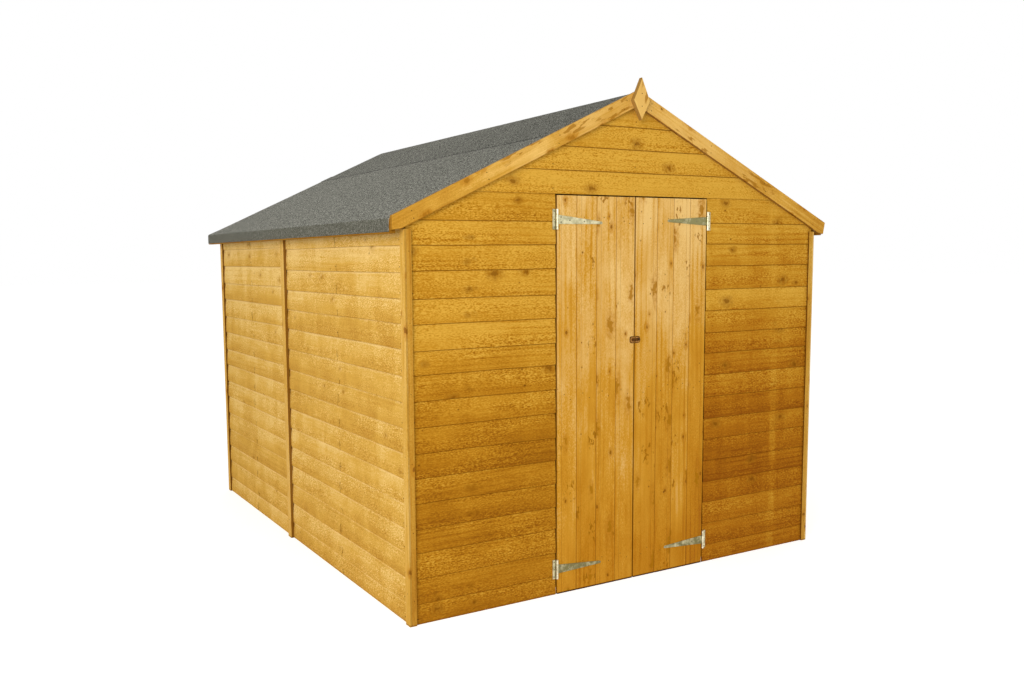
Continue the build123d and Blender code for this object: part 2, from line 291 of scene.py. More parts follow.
@dataclass(frozen=True)
class Timber:
    """Softwood under a golden-brown dip stain.

    Growth rings and fibre show through the stain as long streaks, and knots drink more of it and
    turn dark brown. The dark lines under the laps and at the foot, and the deepening towards the
    ground, are painted shade.
    """
    name: str
    deep: str                   # where the stain gathers
    late: str                   # latewood
    body: str                   # middle of the board
    pale: str                   # earlywood that took little stain
    shade: str = "#6b3c0c"      # painted shade under a lap and along the foot
    flare: str = "#a8691a"      # wood round a knot
    edge: str = "#6e4408"       # sawn edges and ends, where the stain soaks in; also painted shade on undersides, grooves and strip sides
    ring: float = 14.0          # ring spacing, mm; the real 3 to 6 mm is too fine to show
    rings: float = 0.10         # how strongly the rings show
    streak: float = 4.0         # width of a fibre streak, mm; the real one is under 1 mm
    streaks: float = 0.24
    chatter: float = 0.0        # marks of the band saw across the board
    fleck: float = 0.0          # torn-up fibre of a sawn face
    fleck_size: float = 6.5     # mm; the real fibre tufts of 1 to 2 mm are too fine to show
    fleck_long: float = 1.7     # how much longer a tuft is than wide
    patch: float = 0.25         # uneven take-up of the stain along a board
    blotch: float = 0.0         # wide clouds where the dip ran or dried unevenly
    drips: float = 0.0          # upright bands where it ran down
    hide: tuple[float, float] = (0.0, 0.3)              # darkness at which the grain goes
    hidden: float = 1.0         # how much of the grain still shows there
    board: float = 0.05         # difference from board to board
    knots: tuple[Knots, ...] = ()
    foot_dark: float = 0.0      # painted shade, deepening from head height to the ground
    foot_from: tuple[float, float] = (0.2, 2.1)         # heights between which it happens, m
    contact_shadow: float = 0.0      # painted shadow: a dark line where a board nearly meets the ground
    lapped: bool = False
    lap_shadow: float = 0.5       # painted shade: a dark line under a lap
    lap_pale: float = 0.0       # painted highlight: how much lighter the wood just under a lap is drawn
    cup_shade: float = 0.12     # deepening from the top of a board to its lower edge
    band: float = 0.0           # how much lighter the low boards are over the middle batten
    nail_run: float = 0.0       # stain that ran down from the nails in the middle batten
    nail_blot: float = 0.0      # and that smeared round them
    run_down: str = "#875204"
    roughness: float = 0.62
    gloss: float = 0.3
    relief: float = 0.6         # height of the fibres, mm
    grain: Grain = Grain.WITH_BOARD

    def run(self, tree: Tree) -> Socket:
        """Adds the nodes that say how far along, across and through the grain a point lies.

        Args:
            tree: the material's node tree.

        Returns:
            A vector socket, in metres.
        """
        if self.grain is Grain.WITH_BOARD:
            return add(tree, "Attribute.grain", out="Vector")
        place = add(tree, "TexCoord", out="Object")
        x, y, z = add(tree, "SeparateXYZ", place).node.outputs[:3]
        if self.grain is Grain.DOWN_SLOPE:
            out = add(tree, "Math.ABSOLUTE", x)
            level = add(tree, "Math.MULTIPLY_ADD", out, PLAN.slope, z)
            order = (x, level, y)
        else:
            order = {Grain.ALONG_X: (x, z, y), Grain.ALONG_Y: (y, z, x),
                     Grain.UPRIGHT: (z, x, y)}[self.grain]
        return add(tree, "CombineXYZ", *order)

    def knot_masks(self, tree: Tree, run: Socket, kind: Knots) -> tuple[Socket, ...]:
        """Adds the nodes that place one kind of knot.

        Args:
            tree: the material's node tree.
            run: where a point lies in the grain.
            kind: the knots to place.

        Returns:
            Sockets for the heart, the coloured wood round it, and the way to its middle.
        """
        cell = Vector((*kind.cell, 1000.0)) * MM
        spread = add(tree, "VectorMath.MULTIPLY", run, [1 / c for c in cell])
        chance = add(tree, "TexVoronoi", spread, scale=1.0, voronoi_dimensions="2D")
        away = add(tree, "VectorMath.SUBTRACT", spread, chance.node.outputs["Position"])
        away = add(tree, "VectorMath.MULTIPLY", away, (cell.x / kind.long, cell.y, 0.0))
        drawn = (1 / kind.dab_long if kind.dabs else 1.0, 1.0, 1.0)
        ragged = add(tree, "VectorMath.MULTIPLY", run, drawn)
        ragged = add(tree, "TexNoise", ragged, scale=kind.grit, detail=2.0)
        far = add(tree, "VectorMath.LENGTH", away, out="Value")
        size, lot = add(tree, "SeparateColor", chance.node.outputs["Color"]).node.outputs[:2]
        radius = add(tree, "MapRange", size, 0.0, 1.0, kind.size[0] * MM, kind.size[1] * MM)
        there = add(tree, "Math.LESS_THAN", lot, kind.share)
        radius = add(tree, "Math.MULTIPLY_ADD", radius, there, 1e-05)
        ratio = add(tree, "Math.DIVIDE", far, radius)
        ratio = add(tree, "Math.MULTIPLY_ADD", ragged, 2 * kind.ragged, ratio)
        middle = kind.ragged
        core = add(tree, "MapRange.SMOOTHSTEP", ratio, middle + 0.5, middle + 1.0, 1.0, 0.0)
        if kind.dabs:
            dab = add(tree, "MapRange.SMOOTHSTEP", ragged, 0.44 - kind.dabs, 0.5 - kind.dabs, 1.0,
                      0.0)
            core = add(tree, "Math.MULTIPLY", core, dab)
        halo = add(tree, "MapRange.SMOOTHSTEP", ratio, middle + 0.6, middle + kind.spread - 0.6,
                   1.0, 0.0)
        return core, halo, away

    def marks(self, tree: Tree, bent: Socket, ring: Socket) -> Parts:
        """Adds the nodes of the growth, the saw and the dip: what differs from spot to spot.

        Args:
            tree: the material's node tree.
            bent: where a point lies in the grain, after it has swung round the knots.
            ring: the growth rings.

        Returns:
            Each value with its middle and its strength.
        """
        found = [(ring, 0.35, -self.rings)] if self.rings else []
        # clouds for each metre along, across and through: fibre, uneven take-up, saw marks
        for stretch, detail, strength in (
                ((4.0, 500 / self.streak, 40.0), 4.0, self.streaks),
                ((2.6, 10.0, 3.0), 2.0, self.patch),
                ((70.0, 5.0, 5.0), 2.0, self.chatter)):
            if strength:
                place = add(tree, "VectorMath.MULTIPLY", bent, stretch)
                mottle = add(tree, "TexNoise", place, scale=1.0, detail=detail, roughness=0.6)
                found.append((mottle, 0.5, 2 * strength))
        if self.fleck:
            # the saw tore the fibre up in places, and left it nearly smooth in others
            tuft = 1000 / self.fleck_size
            torn = add(tree, "VectorMath.MULTIPLY", bent, (tuft / self.fleck_long, tuft, tuft))
            torn = add(tree, "TexNoise", torn, scale=1.0, detail=2.0, roughness=0.6)
            torn = add(tree, "Math.SUBTRACT", torn, 0.5)
            where = add(tree, "VectorMath.MULTIPLY", bent, (1.9, 11.0, 5.0))
            where = add(tree, "TexNoise", where, scale=1.0, detail=2.0)
            where = add(tree, "MapRange", where, 0.38, 0.62, 0.5, 1.4)
            torn = add(tree, "Math.MULTIPLY", torn, where)
            found.append((torn, 0.0, 2 * self.fleck))
        # the same along X, Y and Z, so they pass from board to board
        for stretch, strength in (((6.5, 6.5, 2.6), self.blotch), ((8.0, 8.0, 0.9), self.drips)):
            if strength:
                place = add(tree, "TexCoord", out="Object")
                place = add(tree, "VectorMath.MULTIPLY", place, stretch)
                run = add(tree, "TexNoise", place, scale=1.0, detail=4.0, roughness=0.6,
                          distortion=0.6)
                found.append((run, 0.5, 2 * strength))
        return found

    def lie(self, tree: Tree) -> Parts:
        """Adds the nodes of what follows the boards: their tone, their laps and the ground.

        Args:
            tree: the material's node tree.

        Returns:
            Each value with its middle and its strength.
        """
        tone = add(tree, "Attribute.tone", out="Fac")
        found = [(tone, 0.0, self.board)]
        # painted shade, darker towards the ground
        if self.foot_dark:
            height = add(tree, "TexCoord", out="Object")
            height = add(tree, "SeparateXYZ", height, out=2)
            height = add(tree, "MapRange.SMOOTHSTEP", height, *self.foot_from)
            found.append((height, 0.5, self.foot_dark))
        if self.band:
            off = add(tree, "Attribute.nailed", out="Fac")
            off = add(tree, "Math.ABSOLUTE", off)
            off = add(tree, "MapRange.SMOOTHSTEP", off, *BAND_WIDE, 1.0, 0.0)
            place = add(tree, "TexCoord", out="Object")
            low = add(tree, "SeparateXYZ", place, out=2)
            low = add(tree, "MapRange", low, *BAND_HIGH, 1.0, 0.0)
            spots = add(tree, "TexNoise", place, scale=7.0, detail=1.0)
            spots = add(tree, "MapRange", spots, 0.35, 0.6, 0.25)
            for share in (low, spots):
                off = add(tree, "Math.MULTIPLY", off, share)
            found.append((off, 0.0, self.band))
        if self.lapped:
            foot = add(tree, "Attribute.foot", out="Fac")
            foot = add(tree, "MapRange.SMOOTHSTEP", foot, *CUPPED)
            found.append((foot, 0.6, self.cup_shade))
        # painted highlight just under each lap
        if self.lap_pale:
            lap = add(tree, "Attribute.lap", out="Fac")
            lap = add(tree, "MapRange.SMOOTHSTEP", lap, *LAP_HIGHLIGHT_BAND, 1.0, 0.0)
            found.append((lap, 0.0, self.lap_pale))
        return found

    def nail_marks(self, tree: Tree, run: Socket) -> Socket:
        """Adds the nodes of the marks round the nails of one batten: a smear and a short run.

        Args:
            tree: the material's node tree.
            run: where a point lies in the grain.

        Returns:
            A mask socket.
        """
        off = add(tree, "Attribute.nailed", out="Fac")
        foot = add(tree, "Attribute.foot", out="Fac")
        wander = add(tree, "TexNoise", run, scale=30.0, detail=3.0)
        lot = add(tree, "VectorMath.MULTIPLY", run, (0.0, 0.0, 1.0))
        lot = add(tree, "VectorMath.SNAP", lot, (1.0, 1.0, 0.4))
        lot = add(tree, "TexWhiteNoise", lot)
        off = add(tree, "Math.MULTIPLY_ADD", wander, 0.05, off)
        off = add(tree, "Math.MULTIPLY_ADD", lot, -0.03, off)
        off = add(tree, "Math.SUBTRACT", off, 0.01)
        thin = add(tree, "Math.ABSOLUTE", off)
        thin = add(tree, "MapRange.SMOOTHSTEP", thin, *RUN_WIDE, 1.0, 0.0)
        top = add(tree, "MapRange", lot, 0.0, 1.0, *RUN_LONG)
        reach = add(tree, "Math.LESS_THAN", foot, top)
        mark = add(tree, "Math.MULTIPLY", thin, reach)
        mark = add(tree, "Math.MULTIPLY", mark, self.nail_run)
        up = add(tree, "Math.SUBTRACT", foot, NAIL_LINE)
        wide = add(tree, "Math.MULTIPLY", off, 0.45)
        blot = add(tree, "CombineXYZ", wide, up)
        blot = add(tree, "VectorMath.LENGTH", blot, out="Value")
        blot = add(tree, "Math.MULTIPLY_ADD", wander, 0.055, blot)
        dot = add(tree, "MapRange.SMOOTHSTEP", blot, *BLOT_HEART, 0.9, 0.0)
        blot = add(tree, "MapRange.SMOOTHSTEP", blot, *BLOT_EDGE, 0.6, 0.0)
        blot = add(tree, "Math.MAXIMUM", blot, dot)
        kept = add(tree, "Math.GREATER_THAN", lot, 0.35)
        blot = add(tree, "Math.MULTIPLY", blot, kept)
        blot = add(tree, "Math.MULTIPLY", blot, self.nail_blot)
        return add(tree, "Math.MAXIMUM", mark, blot)

    def build(self, tree: Tree) -> None:
        """Fills the timber's node tree."""
        run = self.run(tree)
        masks = [(kind, *self.knot_masks(tree, run, kind)) for kind in self.knots]

        # the grain swells round a knot
        bent = run
        for kind, _, halo, away in masks[:1]:
            across = add(tree, "SeparateXYZ", away, out=1)
            swell = add(tree, "Math.MULTIPLY", across, halo)
            swell = add(tree, "CombineXYZ", 0.0, swell)
            bent = add(tree, "VectorMath.SUBTRACT", run, swell)
        wander = add(tree, "VectorMath.MULTIPLY", run, (0.8, 7.0, 9.0))
        wander = add(tree, "TexNoise", wander, scale=1.0, detail=1.0)

        # growth rings: fade up slowly, stop short, and show only in places
        level = add(tree, "SeparateXYZ", bent, out=1)
        count = add(tree, "Math.MULTIPLY", level, 1 / (self.ring * MM))
        count = add(tree, "Math.MULTIPLY_ADD", wander, 60.0 / self.ring, count)
        ring = add(tree, "Math.PINGPONG", count, 1.0)
        ring = add(tree, "Math.POWER", ring, 3.0)
        showing = add(tree, "VectorMath.MULTIPLY", run, (1.7, 9.0, 3.0))
        showing = add(tree, "TexNoise", showing, scale=1.0, detail=2.0)
        showing = add(tree, "MapRange", showing, 0.47, 0.66, 0.1, 2.4)
        ring = add(tree, "Math.MULTIPLY", ring, showing)

        # where the board is darker, from its stain and from painted shade, the grain shows less
        calm = summed(tree, 0.6, self.lie(tree))
        stir = summed(tree, 0.0, self.marks(tree, bent, ring))
        seen = add(tree, "MapRange", calm, *self.hide, self.hidden, 1.0)
        total = add(tree, "Math.MULTIPLY_ADD", stir, seen, calm)
        colour = add(tree, "ValToRGB", total, stops=((0.1, self.deep), (0.95, self.pale),
                                                     (0.38, self.late), (0.62, self.body)))

        layers = []
        for kind, core, halo, _ in masks:
            layers += [(halo, kind.halo, self.flare), (core, kind.core, kind.heart)]
        if self.nail_run or self.nail_blot:
            layers.append((self.nail_marks(tree, run), 1.0, self.run_down))
        # painted shade: a dark line under each lap
        if self.lapped and self.lap_shadow:
            lap = add(tree, "Attribute.lap", out="Fac")
            lap = add(tree, "MapRange.SMOOTHSTEP", lap, *LAP_SHADOW_BAND, 1.0, 0.0)
            layers.append((lap, self.lap_shadow, self.shade))
        # painted shadow of the gap under a board, along its foot
        if self.contact_shadow:
            ground_shade = add(tree, "TexCoord", out="Object")
            ground_shade = add(tree, "SeparateXYZ", ground_shade, out=2)
            ground_shade = add(tree, "MapRange", ground_shade, *FOOT_SHADOW_BAND, 1.0, 0.0)
            layers.append((ground_shade, self.contact_shadow, self.shade))
        # the edge colour: stain soaked into sawn edges and ends, and painted shade on undersides,
        # grooves and strip sides
        cut = add(tree, "Attribute.edge", out="Fac")
        layers.append((cut, 1.0, self.edge))
        for mask, strength, code in layers:
            share = add(tree, "Math.MULTIPLY", mask, strength)
            colour = add(tree, "Mix.RGBA", share, into={6: colour, 7: linear(code)}, out=2)

        fibre = add(tree, "VectorMath.MULTIPLY", bent, (9.0, 320.0, 320.0))
        fibre = add(tree, "TexNoise", fibre, scale=1.0, detail=3.0)
        height = add(tree, "Math.MULTIPLY_ADD", ring, -0.4, fibre)
        surface(tree, colour, height, (0.6, self.relief), self.roughness, self.gloss)


# Soft knots of sawn boards: few, drawn out along the grain, a dark heart in a brown cloud.
SAWN_KNOTS = (Knots((380.0, 105.0), 0.34, (6.0, 12.0), core=0.6, halo=0.6, ragged=1.6,
                    long=1.6, heart="#7a4700"),
              Knots((260.0, 70.0), 0.14, (2.2, 4.0), core=0.7, halo=0.35, spread=3.0,
                    heart="#663800"))
# The same on the long walls, paler to suit their painted sheen.
SIDE_KNOTS = (Knots((420.0, 105.0), 0.26, (5.0, 11.0), core=0.5, halo=0.4, ragged=1.5,
                    long=1.5, heart="#946212"),
              Knots((260.0, 70.0), 0.16, (2.4, 4.4), core=0.7, halo=0.3, spread=3.0,
                    heart="#855407"))
# Planed matchboard: small round knots, broad brown ones, and marks where the stain caught
# torn grain.
DOOR_KNOTS = (Knots((250.0, 85.0), 0.30, (4.0, 7.5), core=0.75, halo=0.6, ragged=1.2,
                    long=1.6, heart="#7d4a00"),
              Knots((240.0, 110.0), 0.40, (26.0, 48.0), core=0.82, halo=0.0, ragged=0.8,
                    grit=62.0, long=1.3, heart="#9c6300", dabs=0.05),
              Knots((330.0, 95.0), 0.32, (9.0, 18.0), core=0.72, halo=0.5, ragged=1.8,
                    grit=48.0, long=2.8, spread=3.0, heart="#a86f00"),
              Knots((120.0, 60.0), 0.14, (2.2, 3.6), core=0.9, halo=0.35, spread=3.0,
                    heart="#663800"))
# Bargeboard stock: broad soft knots, small tight ones, and torn grain.
BARGE_KNOTS = (Knots((210.0, 90.0), 0.62, (8.0, 16.0), core=0.55, halo=0.7, ragged=1.5,
                     grit=45.0, long=1.6, spread=3.4, heart="#96600c"),
               Knots((300.0, 90.0), 0.55, (28.0, 50.0), core=0.75, halo=0.2, ragged=0.8,
                     grit=56.0, long=2.6, heart="#a56c10", dabs=0.02, dab_long=3.6),
               Knots((260.0, 60.0), 0.3, (3.0, 5.0), core=0.9, halo=0.4, heart="#572c00"))

# Rough-sawn feather-edge softwood, dipped: matt, flecked by torn fibre, faintly streaked.
GABLE_BOARD = Timber("sawn_softwood_dipped", deep="#8c530a", late="#b07414", body="#c78d24",
                     pale="#dfab40", shade="#7d4900", flare="#98600f", fleck=0.85,
                     fleck_size=4.4, fleck_long=2.6, streak=3.0, patch=0.20, blotch=0.18,
                     board=0.045, knots=SAWN_KNOTS, foot_dark=0.23, foot_from=(0.55, 1.55),
                     contact_shadow=0.5, lapped=True, lap_shadow=0.72, nail_blot=0.9, roughness=0.85,
                     gloss=0.05, relief=0.9, hide=(0.35, 0.62), hidden=0.75)
# The same boards where the dip ran down them in bands.
BANDED_BOARD = replace(GABLE_BOARD, name="sawn_softwood_dipped_banded", deep="#8e4f08",
                       late="#b27012", drips=0.20, lap_shadow=0.62, fleck=0.7, band=0.17,
                       nail_blot=0.4)
# The same boards on the long walls, paler and more yellow: a lit copy with the side light's sheen
# painted in.
SHEEN_SIDE_BOARD = replace(GABLE_BOARD, name="sawn_softwood_dipped_light", deep="#b07a28",
                     late="#c6943a", body="#d8a848", pale="#f2cd80", flare="#b98434",
                     shade="#865606", run_down="#865606", knots=SIDE_KNOTS, foot_dark=0.12,
                     foot_from=(1.15, 1.65), contact_shadow=0.2, lap_shadow=0.0, lap_pale=0.17,
                     cup_shade=0.17, blotch=0.30, fleck=0.70, fleck_long=2.4, hidden=1.0,
                     streaks=0.12, rings=0.05, nail_run=0.85, nail_blot=0.35)
# Planed tongue-and-groove softwood, dipped: smooth, and drawn paler towards the top and darker
# towards the foot as painted light and shade.
DOOR_BOARD = Timber("planed_matchboard_dipped", deep="#a25f12", late="#c07f16", body="#d3972c",
                    pale="#f0c67a", shade="#4a2a04", edge="#86540a", flare="#b87818",
                    ring=15.0, streak=3.5, streaks=0.13, patch=0.22, blotch=0.30, fleck=0.22,
                    fleck_size=4.6, knots=DOOR_KNOTS, foot_dark=0.42, foot_from=(0.0, 1.9),
                    contact_shadow=1.0, roughness=0.6, gloss=0.05, relief=0.25)
# The same boards with less painted shade towards the foot.
EVEN_DOOR_BOARD = replace(DOOR_BOARD, name="planed_matchboard_dipped_even", foot_dark=0.30)
# Planed softwood strip, dipped: the same stain on narrow, cleaner stock.
TRIM = replace(DOOR_BOARD, name="planed_strip_dipped", deep="#9c6414", late="#bd8529",
               body="#d2a03f", pale="#ecc575", edge="#6e4408", foot_dark=0.04, contact_shadow=0.4,
               blotch=0.20, board=0.06, streaks=0.24,
               knots=(Knots((300.0, 60.0), 0.55, (6.0, 12.0), halo=0.6, ragged=1.3,
                            heart="#85500f"),))
# Planed bargeboard stock: golden, with larger knots.
BARGE = replace(TRIM, name="planed_bargeboard_dipped", late="#bd8426", body="#d6a03c",
                pale="#f2c46c", knots=BARGE_KNOTS, foot_dark=0.32, foot_from=(1.65, 2.3),
                fleck=0.2, patch=0.26, blotch=0.24)
# Sawn framing batten: the same dip on furry sawn stock.
FRAMING = Timber("sawn_batten_dipped", deep="#8f5d1c", late="#b58437", body="#c6974a",
                 pale="#d8b270", fleck=0.30, knots=SAWN_KNOTS, roughness=0.85, gloss=0.08)


@dataclass(frozen=True)
class MineralFelt:
    """Bitumen roofing felt with a mineral surface.

    Pressed stone granules give a dry grey speckle; the bitumen between them is nearly black.
    """
    name: str = "mineral_felt_pressed"
    dark: str = "#26261f"
    body: str = "#6f6e63"
    pale: str = "#bcbbae"
    fold_face: str = "#4c4a3c"     # darker colour on the face of a fold
    granule: float = 3.8        # mm; real granules of 1 to 2 mm are too fine to show
    fore: tuple[float, float] = (0.4, -1.4)     # Y between which the painted shade deepens to the front, m
    high: tuple[float, float] = (1.75, 2.1)     # heights between which that comes in, m
    fore_shade: float = 0.13

    def build(self, tree: Tree) -> None:
        """Fills the felt's node tree."""
        place = add(tree, "TexCoord", out="Object")
        grit = add(tree, "TexVoronoi", place, scale=1000 / self.granule, out="Color")
        grit = add(tree, "SeparateColor", grit)
        cloud = add(tree, "TexNoise", place, scale=2.5, detail=3.0)
        shade = add(tree, "Math.MULTIPLY_ADD", cloud, 0.04, grit)
        own = add(tree, "Attribute.tone", out="Fac")
        shade = add(tree, "Math.MULTIPLY_ADD", own, 0.05, shade)
        # painted shade: darker towards the front of the roof, more so high up
        _, y, z = add(tree, "SeparateXYZ", place).node.outputs[:3]
        fore = add(tree, "MapRange", y, *self.fore, 0.0, -self.fore_shade)
        high = add(tree, "MapRange", z, *self.high, 0.3, 1.0)
        shade = add(tree, "Math.MULTIPLY_ADD", fore, high, shade)
        colour = add(tree, "ValToRGB", shade, stops=((0.0, self.dark), (1.0, self.pale),
                                                     (0.5, self.body)))
        bent = add(tree, "Attribute.edge", out="Fac")
        colour = add(tree, "Mix.RGBA", bent, into={6: colour, 7: linear(self.fold_face)}, out=2)
        surface(tree, colour, grit, (0.3, 0.5), 0.95, 0.2)


@dataclass(frozen=True)
class Bitumen:
    """Cut edge of the felt and the adhesive that squeezes out of a lap: black, slightly shiny."""
    name: str = "bitumen_poured"

    def build(self, tree: Tree) -> None:
        """Fills the bitumen's node tree."""
        place = add(tree, "TexCoord", out="Object")
        lump = add(tree, "TexNoise", place, scale=120.0, detail=2.0)
        colour = add(tree, "ValToRGB", lump, stops=((0.3, "#23221f"), (0.7, "#3b3a35")))
        surface(tree, colour, lump, (0.5, 1.0), 0.6)


@dataclass(frozen=True)
class StrandBoard:
    """Oriented strand board, pressed and sanded.

    Flat flakes of wood lie every way, each catching the light a little differently.
    """
    name: str = "strand_board_pressed"
    flake: tuple[float, float] = (110.0, 32.0)          # mm

    def build(self, tree: Tree) -> None:
        """Fills the strand board's node tree."""
        place = add(tree, "TexCoord", out="Object")
        shade = None
        for turn, weight in ((0.35, 0.5), (1.3, 0.3), (2.4, 0.2)):
            turned = add(tree, "Mapping", place, rotation=(0.0, 0.0, turn),
                         scale=(1000 / self.flake[0], 1000 / self.flake[1], 8.0))
            flake = add(tree, "TexVoronoi", turned, scale=1.0, out="Color")
            flake = add(tree, "SeparateColor", flake)
            shade = add(tree, "Math.MULTIPLY_ADD", flake, weight, 0.0 if shade is None else shade)
        colour = add(tree, "ValToRGB", shade, stops=((0.1, "#8f6a38"), (0.9, "#dcbd86"),
                                                     (0.5, "#bf9858")))
        surface(tree, colour, shade, (0.4, 0.8), 0.7, 0.3)


@dataclass(frozen=True)
class Metal:
    """Sheet or wire steel under a thin coat, with the mottle that the coating leaves."""
    name: str
    dark: str
    pale: str
    mottle: float               # size of a spangle or stain, mm
    roughness: tuple[float, float]
    metallic: float = 1.0
    gloss: float = 0.5
    spangle: float = 0.35               # how much neighbouring crystals differ

    def build(self, tree: Tree) -> None:
        """Fills the metal's node tree."""
        place = add(tree, "TexCoord", out="Object")
        spangle = add(tree, "TexVoronoi", place, scale=1000 / self.mottle, out="Color")
        spangle = add(tree, "SeparateColor", spangle)
        stain = add(tree, "TexNoise", place, scale=40.0, detail=3.0)
        shade = add(tree, "Math.MULTIPLY_ADD", spangle, self.spangle, stain)
        own = add(tree, "Attribute.tone", out="Fac")
        shade = add(tree, "Math.MULTIPLY_ADD", own, 0.2, shade)
        colour = add(tree, "ValToRGB", shade, stops=((0.4, self.dark), (0.95, self.pale)))
        rough = add(tree, "MapRange", shade, 0.4, 0.9, *self.roughness)
        surface(tree, colour, stain, (0.3, 0.3), rough, self.gloss, self.metallic)


# Hot-dip galvanised sheet: grey-green zinc with soft spangle, drawn darker as painted reflection of
# dim surroundings.
GALVANISED = Metal("galvanised_steel_pressed", dark="#77724c", pale="#d4cda8", mottle=9.0,
                   roughness=(0.4, 0.6), spangle=0.18)
# The same zinc drawn bright on the rolled knuckles, as painted highlight.
HIGHLIT_KNUCKLE = Metal("galvanised_steel_rolled", dark="#b5b08c", pale="#efe9cf", mottle=9.0,
                roughness=(0.3, 0.5))
# Bright zinc-plated screw heads.
ZINC = Metal("zinc_plated_steel_turned", dark="#6d6a50", pale="#a8a382", mottle=3.0,
             roughness=(0.3, 0.5))
# Nail heads that have taken the brown stain with the boards.
NAIL = Metal("steel_nail_stained", dark="#422600", pale="#6e4608", mottle=3.0,
             roughness=(0.5, 0.7), metallic=0.0, gloss=0.1)
# Brown-lacquered latch: dark, with a soft shine on its edges.
LATCH = Metal("latch_steel_lacquered", dark="#482800", pale="#6d4008", mottle=6.0,
              roughness=(0.4, 0.55), metallic=0.0, gloss=0.1)
# The same lacquer, paler, on a ring inside the rim of the plate.
LATCH_RIM = replace(LATCH, name="latch_rim_rubbed", dark="#8c5a1c", pale="#bd8a4a")
# Painted shadow in the cross recess of a screw head, and the shadowed hollow of the latch.
RECESS = Metal("recess_shadowed", dark="#2a1604", pale="#46301c", mottle=3.0,
               roughness=(0.6, 0.8), metallic=0.0, gloss=0.1)

_MADE: dict[str, bpy.types.Material] = {}


def finish_of(recipe: object) -> bpy.types.Material:
    """Material of a finish, built once however many pieces wear it.

    Args:
        recipe: one of the finishes above.

    Returns:
        Its material.
    """
    if recipe.name not in _MADE:
        _MADE[recipe.name] = bpy.data.materials.new(recipe.name)
        recipe.build(emptied(_MADE[recipe.name]))
    return _MADE[recipe.name]


# ---- meshes ---------------------------------------------------------------------------------
def placed(name: str, data: bpy.types.ID) -> bpy.types.Object:
    """Puts a new object into the scene.

    Args:
        name: its name.
        data: its mesh, light or camera.

    Returns:
        The object.
    """
    made = bpy.data.objects.new(name, data)
    bpy.context.scene.collection.objects.link(made)
    return made


def own_grain(chance: random.Random) -> Vector:
    """A place in the grain that is a board's own, so that no two look alike."""
    return Vector((chance.uniform(0, 40), chance.uniform(0, 40), 0.0))


class Corner(NamedTuple):
    """One corner of a board's section, in millimetres."""
    across: float
    out: float
    lap: float = FAR            # below the board that laps over this one
    foot: float = FAR           # above the board's own lower edge


class Point(NamedTuple):
    """One point of a mesh, in metres, with how its grain and laps lie."""
    place: Vector
    grain: Vector
    lap: float = FAR * MM
    foot: float = FAR * MM
    nailed: float = FAR * MM            # along the board from its middle nails


class Piece:
    """One named mesh, made of closed solids."""

    def __init__(self, name: str, *finishes: object) -> None:
        """Starts an empty piece.

        Args:
            name: the piece's name.
            finishes: what its faces may wear, by number.
        """
        self.name = name
        self.finishes = finishes
        self.points: list[Point] = []
        self.faces: list[tuple[int, ...]] = []
        self.tones: list[float] = []
        self.cuts: list[float] = []
        self.worn: list[int] = []

    def loft(self, rows: list[list[Point]], tone: float = 0.0, ends: float = 0.0,
             finish: int = 0, cut: dict[int, float] | None = None) -> None:
        """Adds a closed solid: a skin over rows of points, and a flat face at each end.

        Args:
            rows: the sections, each with as many points.
            tone: how much lighter this solid is than its neighbours.
            ends: how far the end faces are stained as cut ends.
            finish: which of the piece's finishes it wears.
            cut: the same for the faces that follow a point of the section, by its number; on
            undersides, grooves and strip sides that darkening is painted shade.
        """
        first, wide = len(self.points), len(rows[0])
        for row in rows:
            self.points += row
        for i in range(len(rows) - 1):
            for j in range(wide):
                k = (j + 1) % wide
                low, high = first + i * wide, first + (i + 1) * wide
                self.faces.append((low + j, low + k, high + k, high + j))
        last = first + (len(rows) - 1) * wide
        self.faces += [tuple(range(first + wide - 1, first - 1, -1)),
                       tuple(range(last, last + wide))]
        made = (len(rows) - 1) * wide
        self.tones += [tone] * (made + 2)
        self.cuts += [(cut or {}).get(j, 0.0) for j in range(wide)] * (len(rows) - 1) + [ends] * 2
        self.worn += [finish] * (made + 2)

    def finish(self, body: str, slot: str, replaced: tuple[str, ...] = (),
               soft: float = 35.0) -> bpy.types.Object:
        """Turns what was collected into an object that rides on a body.

        Args:
            body: the CAD body that carries it.
            slot: the record's material slot; not used.
            replaced: CAD nodes that it stands for.
            soft: edges sharper than this many degrees stay crisp.

        Returns:
            The object.
        """
        mesh = bpy.data.meshes.new(self.name)
        mesh.from_pydata([p.place for p in self.points], [], self.faces)
        sort = bmesh.new()
        sort.from_mesh(mesh)
        bmesh.ops.recalc_face_normals(sort, faces=sort.faces)
        sort.to_mesh(mesh)
        sort.free()
        for key in ("lap", "foot", "nailed"):
            layer = mesh.attributes.new(key, "FLOAT", "POINT")
            layer.data.foreach_set("value", [getattr(p, key) for p in self.points])
        layer = mesh.attributes.new("grain", "FLOAT_VECTOR", "POINT")
        layer.data.foreach_set("vector", [c for p in self.points for c in p.grain])
        for key, values in (("tone", self.tones), ("edge", self.cuts)):
            layer = mesh.attributes.new(key, "FLOAT", "FACE")
            layer.data.foreach_set("value", values)
        for recipe in self.finishes:
            mesh.materials.append(finish_of(recipe))
        mesh.polygons.foreach_set("material_index", self.worn)
        mesh.polygons.foreach_set("use_smooth", [True] * len(mesh.polygons))
        mesh.set_sharp_from_angle(angle=math.radians(soft))
        made = placed(self.name, mesh)
        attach(made, body)
        if replaced:
            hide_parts(*replaced)
        LOG.info("%-24s %6d faces on %s", self.name, len(self.faces), body)
        return made


@dataclass(frozen=True)
class Stand:
    """Where a board stands and the ways it runs: along, across, and out of its face."""
    origin: Vector
    along: Vector
    across: Vector
    out: Vector

    def at(self, along: float, across: float, out: float) -> Vector:
        """Point in metres, for places in millimetres."""
        return (self.origin + self.along * along + self.across * across + self.out * out) * MM


Section = Callable[[float], list[Corner]]
END_GRAIN = 0.8                 # how far the stain soaks into a sawn end


